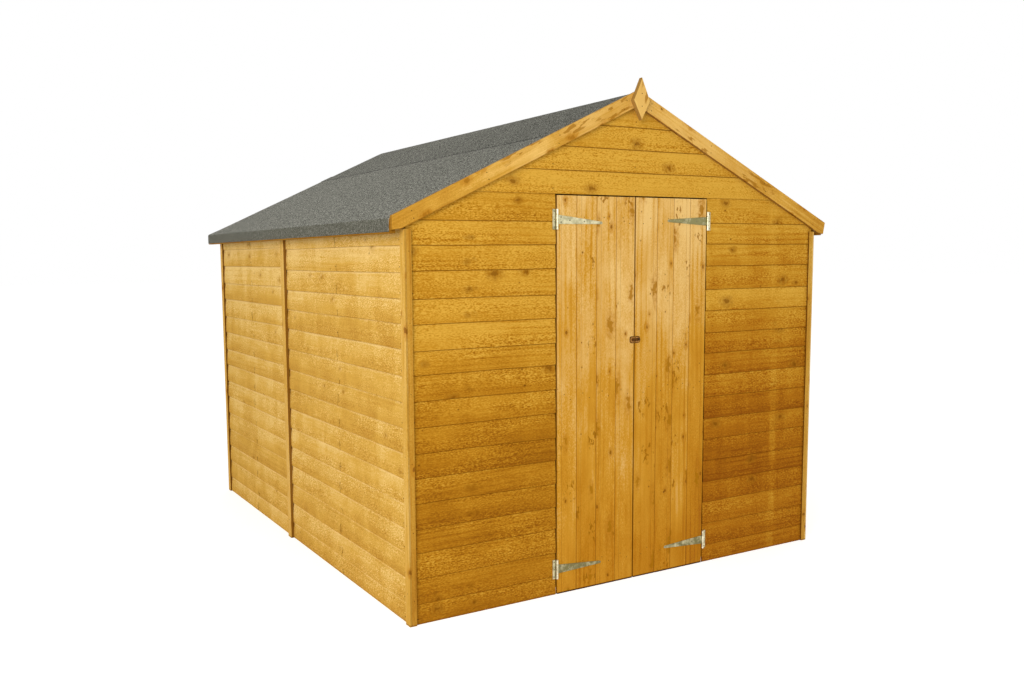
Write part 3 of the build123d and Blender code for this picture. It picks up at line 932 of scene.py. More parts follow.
def plank(piece: Piece, stand: Stand, section: Section, ends: tuple[Line, Line],
          chance: random.Random, step: float, tone: float = 0.0,
          cut: dict[int, float] | None = None, nails: float = -FAR) -> None:
    """Lofts one board into a piece.

    Args:
        piece: the piece that takes it.
        stand: where the board stands.
        section: the board's section at a place along it.
        ends: where each end is cut, for a height across the board.
        chance: gives the board its own grain and tone.
        step: spacing of the sections, mm.
        tone: added to the board's own tone.
        cut: faces in the edge colour, by the number of the section's corner before them:
        stain on sawn edges, and painted shade where a face lies in shade.
        nails: place along the board of its middle nails.
    """
    own = Vector((chance.uniform(0, 40), chance.uniform(0, 40), chance.uniform(0, 5)))
    tone += max(-2.0, min(2.0, chance.gauss(0, 1)))
    start, end = (line(section(0.0)[0].across) for line in ends)
    count = max(1, round(abs(end - start) / step))
    rows = []
    for i in range(count + 1):
        share = i / count
        row = []
        for corner in section(start + (end - start) * share):
            low, high = ends[0](corner.across), ends[1](corner.across)
            along = low + (high - low) * share
            row.append(Point(stand.at(along, corner.across, corner.out),
                             own + Vector((along, corner.across, corner.out)) * MM,
                             corner.lap * MM, corner.foot * MM, (along - nails) * MM))
        rows.append(row)
    piece.loft(rows, tone, END_GRAIN, cut=cut)


def level(value: float) -> Line:
    """A line that stays at one value."""
    return lambda _: value


def bar(low: float, high: float, back: float, face: float, ease: float = 1.5) -> Section:
    """Section of a planed strip with its two front edges eased.

    Args:
        low: lower or left edge.
        high: upper or right edge.
        back: inner face.
        face: outer face.
        ease: width of the eased edges.

    Returns:
        The section, the same all along.
    """
    corners = [Corner(low, back), Corner(low, face - ease), Corner(low + ease, face),
               Corner(high - ease, face), Corner(high, face - ease), Corner(high, back)]
    return lambda _: corners


def turned(piece: Piece, stand: Stand, profile: list[tuple[float, float]], sides: int = 12,
           finish: int = 0) -> None:
    """Adds a turned solid that stands out along its axis.

    Args:
        piece: the piece that takes it.
        stand: its foot and its axis, which is the way out.
        profile: radius and height of each ring, mm.
        sides: how many flats the round has.
        finish: which of the piece's finishes it wears.
    """
    rows = []
    for radius, height in profile:
        row = []
        for i in range(sides):
            angle = math.tau * i / sides
            place = stand.at(radius * math.cos(angle), radius * math.sin(angle), height)
            row.append(Point(place, place))
        rows.append(row)
    piece.loft(rows, finish=finish)


def moved(stand: Stand, along: float, across: float, out: float = 0.0) -> Stand:
    """The same ways, from an origin shifted by millimetres."""
    return replace(stand, origin=stand.at(along, across, out) / MM)


# How far the outermost boards lie back, so that their nail heads stay in the stated size.
NAIL_PROUD = 0.8
SMALL_NAIL, OVAL_NAIL = 1.8, 2.4        # radii of the heads in strips and in bargeboards, mm


def nail(piece: Piece, stand: Stand, radius: float = 2.6) -> None:
    """Adds a nail head that is driven nearly flush, with a shallow dome, in finish 1."""
    turned(piece, stand, [(radius * 0.6, -2.0), (radius, -0.4), (radius, 0.25),
                          (radius * 0.7, 0.6), (radius * 0.2, 0.7)], sides=8, finish=1)


# ---- cladding -------------------------------------------------------------------------------
@dataclass
class LappedWall:
    """A panel of feather-edge boards, each lapped over the one below."""
    name: str
    node: str
    stand: Stand
    finish: Timber
    seed: int
    ends: tuple[Line, Line]
    courses: tuple[float, ...]          # lower edges of the boards, from the foot up
    top: float                          # no board rises above this
    studs: tuple[float, ...]            # places along the wall where the boards are nailed
    lap: float = 13.0                   # how far a board reaches up behind the next
    thin: float = 8.5                   # thickness of a board's upper edge
    crown: float = 0.8                  # how far a board's face has cupped outward
    wave: float = 2.4                   # how far a sawn edge strays from straight
    nail_up: float = 24.0               # nail line above a board's lower edge
    nail_in: float = 15.0               # no nail is closer than this to a board's end
    marked: float = -FAR                # nail line whose nails dragged stain down the boards
    darker_below: float = 0.0           # boards that start below this came out of the dip darker
    own: dict[int, float] | None = None     # how much paler single boards are, by number
    tone: float = 0.0                   # how much paler the whole panel came out

    def edge(self, course: int, along: float) -> float:
        """Height of a board's wavy lower edge.

        Args:
            course: which board, from the foot.
            along: a place along the wall.

        Returns:
            The edge's height there.
        """
        if course == 0:
            return self.courses[0]
        own = self.seed * 7.3 + course * 3.1
        slow = noise.noise(Vector((along / 620, own, 0.0)))
        fast = noise.noise(Vector((along / 140, own, 9.0)))
        return self.courses[course] + self.wave * (1.3 * slow + 0.35 * fast)

    def depth(self, share: float) -> float:
        """How far the face lies behind the wall's plane, at a share of the visible height."""
        return -(PLAN.clad - self.thin) * share + self.crown * 4 * share * (1 - share)

    def section(self, course: int) -> Section:
        """Section of one board.

        Args:
            course: which board, from the foot.

        Returns:
            Its section at any place along the wall.
        """
        last = course + 1 == len(self.courses)

        def corners(along: float) -> list[Corner]:
            """The board's corners at one place along the wall."""
            low = self.edge(course, along)
            over = self.top if last else min(self.edge(course + 1, along), self.top)
            top = min(over + self.lap, self.top)
            seen = over - low
            thick = PLAN.clad - self.thin
            row = [Corner(low, -thick, FAR, 0.0), Corner(low, -1.4, FAR, 0.0),
                   Corner(low + 1.2, -0.2, FAR if last else seen - 1.2, 1.2)]
            for share in (0.12, 0.3, 0.5, 0.7, 0.85, 0.95, 1.0):
                lap = FAR if last else seen * (1 - share)
                row.append(Corner(low + seen * share, self.depth(share), lap, seen * share))
            row += [Corner(top, -thick - 0.2, 0.0, seen), Corner(top, -PLAN.clad, 0.0, seen)]
            return row

        return corners

    def build(self) -> None:
        """Builds the panel's boards as one piece, with their nails."""
        chance = random.Random(self.seed)
        piece = Piece(self.name, self.finish, NAIL)
        for course, low in enumerate(self.courses):
            tone = self.tone - (1.6 if low < self.darker_below else 0.0)
            tone += (self.own or {}).get(course, 0.0)
            # the underside and lower arris of each board take the edge colour as painted shade
            # under the lap
            plank(piece, self.stand, self.section(course), self.ends, chance, step=40.0,
                  tone=tone, cut={0: 0.8, 1: 0.35}, nails=self.marked)
            up = self.nail_up + low
            start, end = self.ends[0](up + 30), self.ends[1](up + 30)
            for stud in self.studs:
                if start + self.nail_in < stud < end - self.nail_in:
                    height = self.edge(course, stud) + self.nail_up
                    out = self.depth(0.22)
                    nail(piece, moved(self.stand, stud + chance.uniform(-4, 4), height, out))
        piece.finish("shed", "cladding", (self.node,))


def coursed(first: float, pitch: float, top: float, seed: int,
            stray: float = 5.0) -> tuple[float, ...]:
    """Lower edges of a wall's boards.

    Args:
        first: lower edge of the second board.
        pitch: mean height that shows of a board.
        top: no board starts above this.
        seed: starts the boards' small differences.
        stray: most that an edge lies off its even place.

    Returns:
        The edges, from the ground up.
    """
    chance = random.Random(seed)
    edges = [0.0]
    low = first
    while low < top - pitch * 0.35:
        edges.append(low + chance.uniform(-stray, stray))
        low += pitch
    return tuple(edges)


def build_cladding() -> None:
    """Builds the eight clad panels in order."""
    p = PLAN
    front = Stand(Vector((0, p.front, 0)), X, Z, -Y)
    rear = Stand(Vector((0, p.rear, 0)), X, Z, Y)
    courses = coursed(89.0, 108.2, p.head, 11)
    beside = (courses, p.head)

    def slope_left(z: float) -> float:
        """Left end of a board at a height of the gable."""
        return -min(p.side, p.reach(p.sheet_under, z))

    def slope_right(z: float) -> float:
        """Its right end."""
        return min(p.side, p.reach(p.sheet_under, z))

    studs = (-1162.0, -464.0, 464.0, 1162.0)
    LappedWall("front_left_boards", "front_left_cladding", front, GABLE_BOARD, 21,
               (slope_left, level(-p.doorway)), *beside, studs=studs, marked=-900.0,
               tone=-1.0, darker_below=870.0, own={0: 1.1, 1: 1.1, 11: 3.0}).build()
    LappedWall("front_right_boards", "front_right_cladding", front, BANDED_BOARD, 22,
               (level(p.doorway), slope_right), *beside, studs=studs, tone=-2.0,
               darker_below=1150.0, marked=935.0).build()
    over = (p.head, p.head + 106, p.head + 211, p.head + 312, p.head + 416)
    LappedWall("front_gable_boards", "front_gable_cladding", front, GABLE_BOARD, 23,
               (slope_left, slope_right), over, p.sheet_under - 3,
               studs=(-464.0, 0.0, 464.0), tone=1.9, own={2: -0.8, 3: 2.4, 4: 2.4}).build()
    LappedWall("rear_boards", "rear_cladding", rear, GABLE_BOARD, 24, (slope_left, slope_right),
               coursed(92.0, 108.0, p.sheet_under, 12), p.sheet_under - 3,
               studs=(-1162.0, -602.0, 0.0, 602.0, 1162.0), tone=-1.0).build()
    for side, name in ((-1, "left"), (1, "right")):
        wall = Stand(Vector((side * p.side, 0, 0)), Y, Z, side * X)
        for place, first in (("front", 89.0), ("rear", 101.0)):
            node = f"{name}_{place}_cladding"
            low, high = box(node)
            middle = (low.y + high.y) / 2
            edges = coursed(first, 108.0, p.wall_top, 40 + side + len(place))
            # the top three boards are drawn paler, painted light against the shade under the eaves
            painted_eaves_light = {len(edges) - 1: 3.6, len(edges) - 2: 1.6, len(edges) - 3: 0.9}
            LappedWall(f"{name}_{place}_boards", node, wall, SHEEN_SIDE_BOARD,
                       30 + 2 * side + len(place), (level(low.y), level(high.y)),
                       edges, p.wall_top, own=painted_eaves_light,
                       studs=(low.y + 42, middle, high.y - 16), thin=6.5, crown=3.2,
                       marked=middle, tone=-0.2 if place == "front" else 1.2).build()


# ---- trims and bargeboards ------------------------------------------------------------------
@dataclass
class CornerTrims:
    """Two strips butted together down each corner of one gable."""
    place: str
    plane: float                        # gable face, Y
    out: int                            # -1 for the front, 1 for the rear
    seed: int
    gable_width: float = 34.0
    side_width: float = 42.0
    thick: float = 8.0
    side_thick: float = 10.0
    seam: float = 0.6                   # open joint between the two strips
    nails: int = 6
    first_nail: float = 110.0           # height of the lowest

    def build(self) -> None:
        """Builds the four strips of this gable's corners."""
        chance = random.Random(self.seed)
        node = f"{self.place}_corner_trims"
        top = box(node)[1].z
        edge = box(node)[1].x
        piece = Piece(f"{self.place}_corner_strips", TRIM, NAIL)
        face = self.plane + self.out * self.thick
        for side in (-1, 1):
            # the strips facing the gable are drawn darker and those facing the sides paler, as
            # painted shade and painted light; their sides take the edge colour as painted shade
            gable = Stand(Vector((0, self.plane, 0)), Z, side * X, Vector((0, self.out, 0)))
            plank(piece, gable, bar(edge - self.gable_width, edge - self.side_thick - self.seam,
                                    0.0, self.thick, 1.2), (level(0), level(top)), chance, 160.0,
                  tone=-3.0 if side < 0 else -1.0, cut={0: 1.0})
            flank = Stand(Vector((side * PLAN.side, 0, 0)), Z, self.out * Y, side * X)
            outer = self.out * face
            plank(piece, flank, bar(outer - self.side_width, outer, 0.0, self.side_thick, 1.2),
                  (level(0), level(top)), chance, 160.0, tone=1.2 if side < 0 else 3.2,
                  cut={0: 1.0, 4: 0.32 if side < 0 else 0.0})
            for i in range(self.nails):
                z = self.first_nail + i * (top - 200) / (self.nails - 1)
                nail(piece, moved(gable, z, edge - self.gable_width / 2 - 4, self.thick),
                     SMALL_NAIL)
                nail(piece, moved(flank, z + 30, outer - self.side_width / 2, self.side_thick),
                     SMALL_NAIL)
        piece.finish("shed", "trim", (node,))


@dataclass
class JointStrips:
    """A strip over the joint of the two panels in each long wall."""
    seed: int = 61
    nails: int = 7
    first_nail: float = 100.0

    def build(self) -> None:
        """Builds the left and right strips."""
        chance = random.Random(self.seed)
        low, high = box("side_joint_strips")
        piece = Piece("side_joint_battens", TRIM, NAIL)
        for side in (-1, 1):
            wall = Stand(Vector((side * PLAN.side, 0, 0)), Z, Y, side * X)
            thick = high.x - PLAN.side
            # the strip's outer face is drawn paler as painted sheen, and both its sides take the
            # edge colour as painted shade beside the boards
            plank(piece, wall, bar(low.y, high.y, 0.0, thick, 1.5),
                  (level(0), level(high.z)), chance, 160.0, tone=1.5, cut={0: 0.85, 4: 0.85})
            for i in range(self.nails):
                z = self.first_nail + i * (high.z - 180) / (self.nails - 1)
                nail(piece, moved(wall, z, (low.y + high.y) / 2, thick), SMALL_NAIL)
        piece.finish("shed", "joint_strip", ("side_joint_strips",))


@dataclass
class Bargeboard:
    """A board down one slope of a gable, from the ridge to the eaves."""
    node: str
    side: int
    face: float                         # outer face, Y
    out: int
    seed: int
    lean: float = 0.0                   # how far the foot of the end cut is drawn in
    lift: float = 0.0                   # how far the level cut lies above the lowest point
    sink: float = 0.0                   # how far its top lies below the felt
    short: float = 0.0                  # how far it stops short of the eaves
    tone: float = 0.0
    width: float = 65.0                 # planed down from the 70 mm of the sawn board
    plumb: float = 77.0                 # height of the sawn board, measured upright
    ease: float = 2.0
    sections: int = 30

    def build(self) -> None:
        """Builds the board and the nails that hold it."""
        chance = random.Random(self.seed)
        low, high = box(self.node)
        top, end = high.z - self.sink, max(abs(low.x), abs(high.x)) - self.short
        deep = high.y - low.y - NAIL_PROUD
        drop = low.z + self.lift
        back = self.face - self.out * (deep + NAIL_PROUD)
        stand = Stand(Vector((0, back, 0)), self.side * X, Z, self.out * Y)
        tilt = math.cos(math.atan(PLAN.slope))
        under = top - self.width / tilt
        piece = Piece(self.node + "board", BARGE, NAIL)
        own = own_grain(chance)
        rows = []
        for i in range(self.sections + 1):
            share = i / self.sections
            row = []
            for level_share, out in ((0.0, 0.0), (0.0, deep - self.ease), (0.03, deep),
                                     (0.97, deep), (1.0, deep - self.ease), (1.0, 0.0)):
                # places between the foot and the top of the board, where it ends and lower in
                x = end * share
                ceiling = top - PLAN.slope * x
                floor = max(under - PLAN.slope * x, drop)
                z = floor + (ceiling - floor) * level_share
                inward = self.lean * (1 - level_share) * max(0.0, (share - 0.9) / 0.1)
                x -= inward
                run = x / tilt
                rise = z - (top - PLAN.slope * x)
                row.append(Point(stand.at(x, z, out),
                                 own + Vector((run, rise * tilt, out)) * MM))
            rows.append(row)
        # its underside takes the edge colour as painted shade, and its top and ends a lighter share
        # of it
        piece.loft(rows, self.tone + chance.gauss(0, 0.6), 0.5, cut={0: 0.7, 4: 0.4})
        for share in (0.06, 0.35, 0.64, 0.93):
            for up in (0.28, 0.72):
                x = end * share + chance.uniform(-12, 12)
                z = top - PLAN.slope * x - self.plumb * up
                nail(piece, moved(stand, x, z, deep), OVAL_NAIL)
        piece.finish("shed", "trim", (self.node,))


@dataclass
class Finial:
    """Diamond of planed board over the meeting of the front bargeboards."""
    seed: int = 77
    ease: float = 2.0
    shoulder: float = 2256.0            # height at which it is widest
    nails: tuple[float, float] = (-25.0, 32.0)          # up from there

    def build(self) -> None:
        """Builds the diamond, with eased edges and a nail above and below its middle."""
        chance = random.Random(self.seed)
        low, high = box("front_finial")
        half, deep = high.x, high.y - low.y - NAIL_PROUD
        shoulder = self.shoulder
        stand = Stand(Vector((0, high.y, 0)), Z, X, -Y)
        outline = [(high.z, 0.0), (shoulder, half), (low.z, 0.0), (shoulder, -half)]
        own = own_grain(chance)
        rows = []
        for shrink, out in ((1.0, 0.0), (1.0, deep - self.ease), (1 - self.ease / half, deep)):
            row = []
            for z, x in outline:
                z = shoulder + (z - shoulder) * shrink
                x *= shrink
                row.append(Point(stand.at(z, x, out), own + Vector((z, x, out)) * MM))
            rows.append(row)
        piece = Piece("front_finial_diamond", BARGE, NAIL)
        # its sides take the edge colour, partly as stain on the cut sides and partly as painted
        # shade
        piece.loft(rows, 5.1, cut={j: 0.7 for j in range(4)})
        for up in self.nails:
            nail(piece, moved(stand, shoulder + up, 0.0, deep), OVAL_NAIL)
        piece.finish("shed", "trim", ("front_finial",))


# ---- roof -----------------------------------------------------------------------------------
@dataclass
class FeltRoof:
    """Two eaves strips folded down over the eaves, and a ridge strip lapped over both."""
    thick: float = 2.5
    fold: float = 11.0                  # radius of the fold at the eaves
    ripple: float = 0.8
    step: float = 70.0
    flat: int = 12                      # points down the slope before the fold
    bead: float = 2.0                   # width of adhesive squeezed out of a lap
    fold_darkening: float = 0.62           # how far the face of the fold is darkened

    def skin(self, piece: Piece, top: list[tuple[float, float]], thick: float, finish: int,
             seed: float, fold: int = 99, tone: float = 0.0, turn: int = 1) -> None:
        """Adds a sheet that follows a line across the roof, from front to rear.

        Args:
            piece: the piece that takes it.
            top: x and z along the upper face.
            thick: the sheet's thickness.
            finish: which of the piece's finishes it wears.
            seed: starts its ripples.
            fold: point of the line after which the sheet is folded down, and darker.
            tone: how much paler the sheet is than its neighbours.
            turn: 1 where the line runs to the right, and -1 where it runs to the left.
        """
        count = round((PLAN.roof_rear - PLAN.front) / self.step)
        under = []
        for i, (x, z) in enumerate(top):
            before, after = top[max(0, i - 1)], top[min(len(top) - 1, i + 1)]
            run = Vector((after[0] - before[0], after[1] - before[1])).normalized()
            under.append((x + run.y * thick * turn, z - run.x * thick * turn))
        rows = []
        for i in range(count + 1):
            y = PLAN.front + (PLAN.roof_rear - PLAN.front) * i / count
            row = []
            for x, z in top:
                lift = self.ripple * noise.noise(Vector((x / 160, y / 240, seed)))
                row.append(Point(Vector((x, y, z + max(0.0, lift))) * MM,
                                 Vector((x, y, z)) * MM))
            for x, z in reversed(under):
                row.append(Point(Vector((x, y, z)) * MM, Vector((x, y, z)) * MM))
            rows.append(row)
        bent = {i: min(self.fold_darkening, 0.16 * (i - fold)) for i in range(fold, len(top))}
        piece.loft(rows, tone, finish=finish, cut=bent)

    def eaves_line(self, start: float) -> list[tuple[float, float]]:
        """Line of an eaves strip: down the slope, round the fold and down its face.

        Args:
            start: where it comes out from under the ridge strip, X.

        Returns:
            Its places, X and Z.
        """
        edge, bend = PLAN.felt_edge, PLAN.felt_edge - self.fold
        line = [start + (bend - start) * i / self.flat for i in range(self.flat)]
        line = [(x, PLAN.fall(PLAN.ridge, x)) for x in line]
        pitch = math.atan(PLAN.slope)
        middle = PLAN.fall(PLAN.ridge, bend) - self.fold * math.cos(pitch)
        for i in range(7):
            angle = (math.pi / 2 - pitch) * (1 - i / 6)
            line.append((bend + self.fold * math.cos(angle),
                         middle + self.fold * math.sin(angle)))
        return line + [(edge, line[-1][1] - 15), (edge, PLAN.drop + 12), (edge, PLAN.drop)]

    def build(self) -> None:
        """Builds the three strips and the beads of adhesive along their laps."""
        p = PLAN
        seam = box("ridge_felt")[1].x
        start = box("right_felt")[0].x
        for side, name in ((-1, "left"), (1, "right")):
            piece = Piece(f"{name}_eaves_felt", MineralFelt(), Bitumen())
            line = [(side * x, z) for x, z in self.eaves_line(start)]
            self.skin(piece, line, self.thick, 0, 3.0 + side, self.flat, turn=side)
            # the black bead is real adhesive and also stands in for the shadow line under the ridge
            # strip's edge, as painted shadow
            # how far out from the seam the bead of adhesive lies, and how high it stands
            bead = [(side * (seam + out), p.fall(p.ridge, seam + out) + up)
                    for out, up in ((-2, 1.4), (1, 1.8), (self.bead, 0.3))]
            self.skin(piece, bead, 1.6, 1, 5.0 + side, turn=side)
            piece.finish("shed", "felt", (f"{name}_felt",), soft=50.0)
        lapped = p.ridge + self.thick * 1.1
        half = [(0.0, p.ridge - 1.0), (8.0, p.ridge - 4.2)]
        half += [(x, p.fall(p.ridge, x)) for x in (30.0, 120.0, 220.0, 310.0, start - 15)]
        half += [(start, p.fall(lapped, start)), (start + 25, p.fall(lapped, start + 25)),
                 (seam - 8, p.fall(lapped, seam - 8)), (seam, p.fall(lapped + 0.8, seam))]
        line = [(-x, z) for x, z in reversed(half[1:])] + half
        piece = Piece("ridge_strip_felt", MineralFelt(), Bitumen())
        self.skin(piece, line, self.thick, 0, 9.0, tone=-1.7)
        piece.finish("shed", "felt", ("ridge_felt",), soft=50.0)


# ---- doors ----------------------------------------------------------------------------------
LEDGES = (122.0, 915.0, 1714.0)         # heights of the ledges' middles, mm


@dataclass
class Leaf:
    """One boarded door leaf with its ledges, braces, hinges and half of the latch."""
    side: int                           # -1 for left and 1 for right
    seed: int
    shares: tuple[float, ...]           # joints between the boards, from the meeting edge
    finish: Timber = DOOR_BOARD
    tone: float = 0.0                   # how much paler the leaf came out
    vee: float = 2.4                    # depth and half width of the groove between boards
    line: float = 0.8                   # depth of the fine line milled beside each groove
    line_in: float = 24.0
    foot: float = 5.0                   # how far the boards reach down into the gap under them, to carry its painted shadow
    ledge: float = 70.0                 # width of a ledge
    brace: float = 60.0                 # width of a brace

    @property
    def name(self) -> str:
        """Which leaf this is."""
        return side_name(self.side)

    @property
    def body(self) -> str:
        """The CAD body that carries the leaf."""
        return f"{self.name}_door"

    def stand(self, out: float) -> Stand:
        """Ways of the leaf: up its boards, from the meeting edge to the hinges, and outward."""
        return Stand(Vector((0, out, 0)), Z, self.side * X, -Y)

    def boards(self) -> None:
        """Builds the tongued and grooved boards, each with its own grain."""
        chance = random.Random(self.seed)
        low, high = box(f"{self.name}_door_boards")
        near, far, deep = spread(f"{self.name}_door_boards")
        stand = self.stand(low.y)
        joints = [near + (far - near) * s for s in (0.0, *self.shares, 1.0)]
        piece = Piece(f"{self.name}_door_matchboard", self.finish, NAIL)
        v, fine = self.vee, self.line
        for i, (a, b) in enumerate(zip(joints, joints[1:])):
            a += 0.4 if i else 0.0
            b -= 0.4 if b < far else 0.0
            mark = b - self.line_in
            sunk = chance.uniform(0.0, 0.5)
            tongue = 3.0 if b < far - 1 else 0.0
            corners = [Corner(a, -deep), Corner(a, -v - sunk), Corner(a + v, -sunk),
                       Corner(mark - fine, -sunk), Corner(mark, -fine - sunk),
                       Corner(mark + fine, -sunk), Corner(b - v, -sunk), Corner(b, -v - sunk)]
            if tongue:
                corners += [Corner(b, -5.0), Corner(b + tongue, -5.0), Corner(b + tongue, -8.0),
                            Corner(b, -8.0)]
            corners.append(Corner(b, -deep))
            if i:
                corners += [Corner(a, -8.4), Corner(a + 3.6, -8.4), Corner(a + 3.6, -4.6),
                            Corner(a, -4.6)]
            # the faces of the V grooves and the milled lines take the edge colour as painted shade
            # in the hollows, and the board sides as sawn edges
            plank(piece, stand, lambda _, c=corners: c, (level(low.z - self.foot), level(high.z)),
                  chance, step=150.0, tone=self.tone,
                  cut={0: 0.9, 1: 0.3, 3: 0.45, 4: 0.45, 6: 0.3, 7: 0.9})
            for z in LEDGES:
                for up in (-18, 18):
                    x = (a + b) / 2 + up + chance.uniform(-5, 5)
                    nail(piece, moved(stand, z + up * 0.7, x, -sunk), 2.2)
        piece.finish(self.body, "door_timber", (f"{self.name}_door_boards",))

    def ledges(self) -> None:
        """Builds the three ledges and two braces on the leaf's back."""
        chance = random.Random(self.seed + 1)
        face = box(f"{self.name}_door_ledges")[0].y
        near, far, deep = spread(f"{self.name}_door_ledges")
        piece = Piece(f"{self.name}_door_battens", FRAMING, NAIL)
        back = Stand(Vector((0, face, 0)), self.side * X, Z, Y)
        upright = Stand(back.origin, Z, self.side * X, Y)
        for z in LEDGES:
            plank(piece, back, bar(z - self.ledge / 2, z + self.ledge / 2, 0.0, deep, 2.5),
                  (level(near), level(far)), chance, 100.0)
        for foot, top in zip(LEDGES, LEDGES[1:]):
            foot, top = foot + self.ledge / 2 + 1, top - self.ledge / 2 - 1
            rise = top - foot
            lean = (far - near - self.brace) / rise
            own = own_grain(chance)
            rows = []
            for i in range(9):
                z = foot + rise * i / 8
                left = far - self.brace - lean * (z - foot)
                row = []
                for c in bar(left, left + self.brace, 0.0, deep, 2.5)(0):
                    row.append(Point(upright.at(z, c.across, c.out),
                                     own + Vector((z, c.across - left, c.out)) * MM))
                rows.append(row)
            piece.loft(rows, chance.gauss(0, 1), END_GRAIN)
        piece.finish(self.body, "framing", (f"{self.name}_door_ledges",))

    def build(self) -> None:
        """Builds the leaf from its boards to its fittings."""
        self.boards()
        self.ledges()
        if self.side < 0:
            Hinges(self.side, drops=(7.0, 14.0), reflection_shades=(-0.9, 1.0)).build()
        else:
            Hinges(self.side, reflection_shades=(-0.2, -1.2)).build()
        LatchHalf(self.side).build()


def inset(outline: list[tuple[float, float]], by: float) -> list[tuple[float, float]]:
    """Draws a convex outline in by an even margin.

    Args:
        outline: its corners in order.
        by: the margin.

    Returns:
        The new corners.
    """
    drawn = []
    area = sum(a[0] * b[1] - b[0] * a[1] for a, b in zip(outline, outline[1:] + outline[:1]))
    turn = 1 if area > 0 else -1
    for i, here in enumerate(outline):
        before, after = Vector(outline[i - 1]), Vector(outline[(i + 1) % len(outline)])
        here = Vector(here)
        one, two = (here - before).normalized(), (after - here).normalized()
        normal = Vector((-one.y - two.y, one.x + two.x)) * turn
        scale = by / max(0.3, 1 + one.dot(two))
        drawn.append(tuple(here + normal * scale))
    return drawn


def plate(piece: Piece, stand: Stand, outline: list[tuple[float, float]], thick: float,
          ease: float = 0.6, finish: int = 0, tone: float = 0.0) -> None:
    """Adds a flat plate with eased front edges.

    Args:
        piece: the piece that takes it.
        stand: the plane of its back.
        outline: its corners in order, mm.
        thick: its thickness.
        ease: width of the eased edge.
        finish: which of the piece's finishes it wears.
        tone: how much paler the plate is than its neighbours.
    """
    rows = []
    for shape, out in ((outline, 0.0), (outline, thick - ease), (inset(outline, ease), thick)):
        rows.append([Point(stand.at(a, c, out), stand.at(a, c, out)) for a, c in shape])
    piece.loft(rows, tone, finish=finish)


def screw(piece: Piece, stand: Stand, radius: float) -> None:
    """Adds a countersunk screw head in finish 1, with a dark cross recess in finish 2.

    Args:
        piece: the piece that takes it.
        stand: its middle on the face, and the way out.
        radius: of its head, mm.
    """
    turned(piece, stand, [(radius * 0.5, -1.6), (radius, -0.1), (radius, 0.25),
                          (radius * 0.55, 0.6), (radius * 0.35, 0.3)], sides=12, finish=1)
    for turn in (0.6, 0.6 + math.pi / 2):
        way = stand.along * math.cos(turn) + stand.across * math.sin(turn)
        arm = Stand(stand.origin, way, stand.out.cross(way), stand.out)
        length, wide = radius * 0.62, radius * 0.2
        plate(piece, arm, [(-length, -wide), (length, -wide), (length, wide), (-length, wide)],
              0.75, 0.1, finish=2)


STRAP_SCREWS = ((22, 11), (22, -11), (70, 0), (150, 0))         # along and across a strap, mm
FLAP_SCREWS = (-35.0, 0.0, 35.0)                                # up a flap from its middle, mm


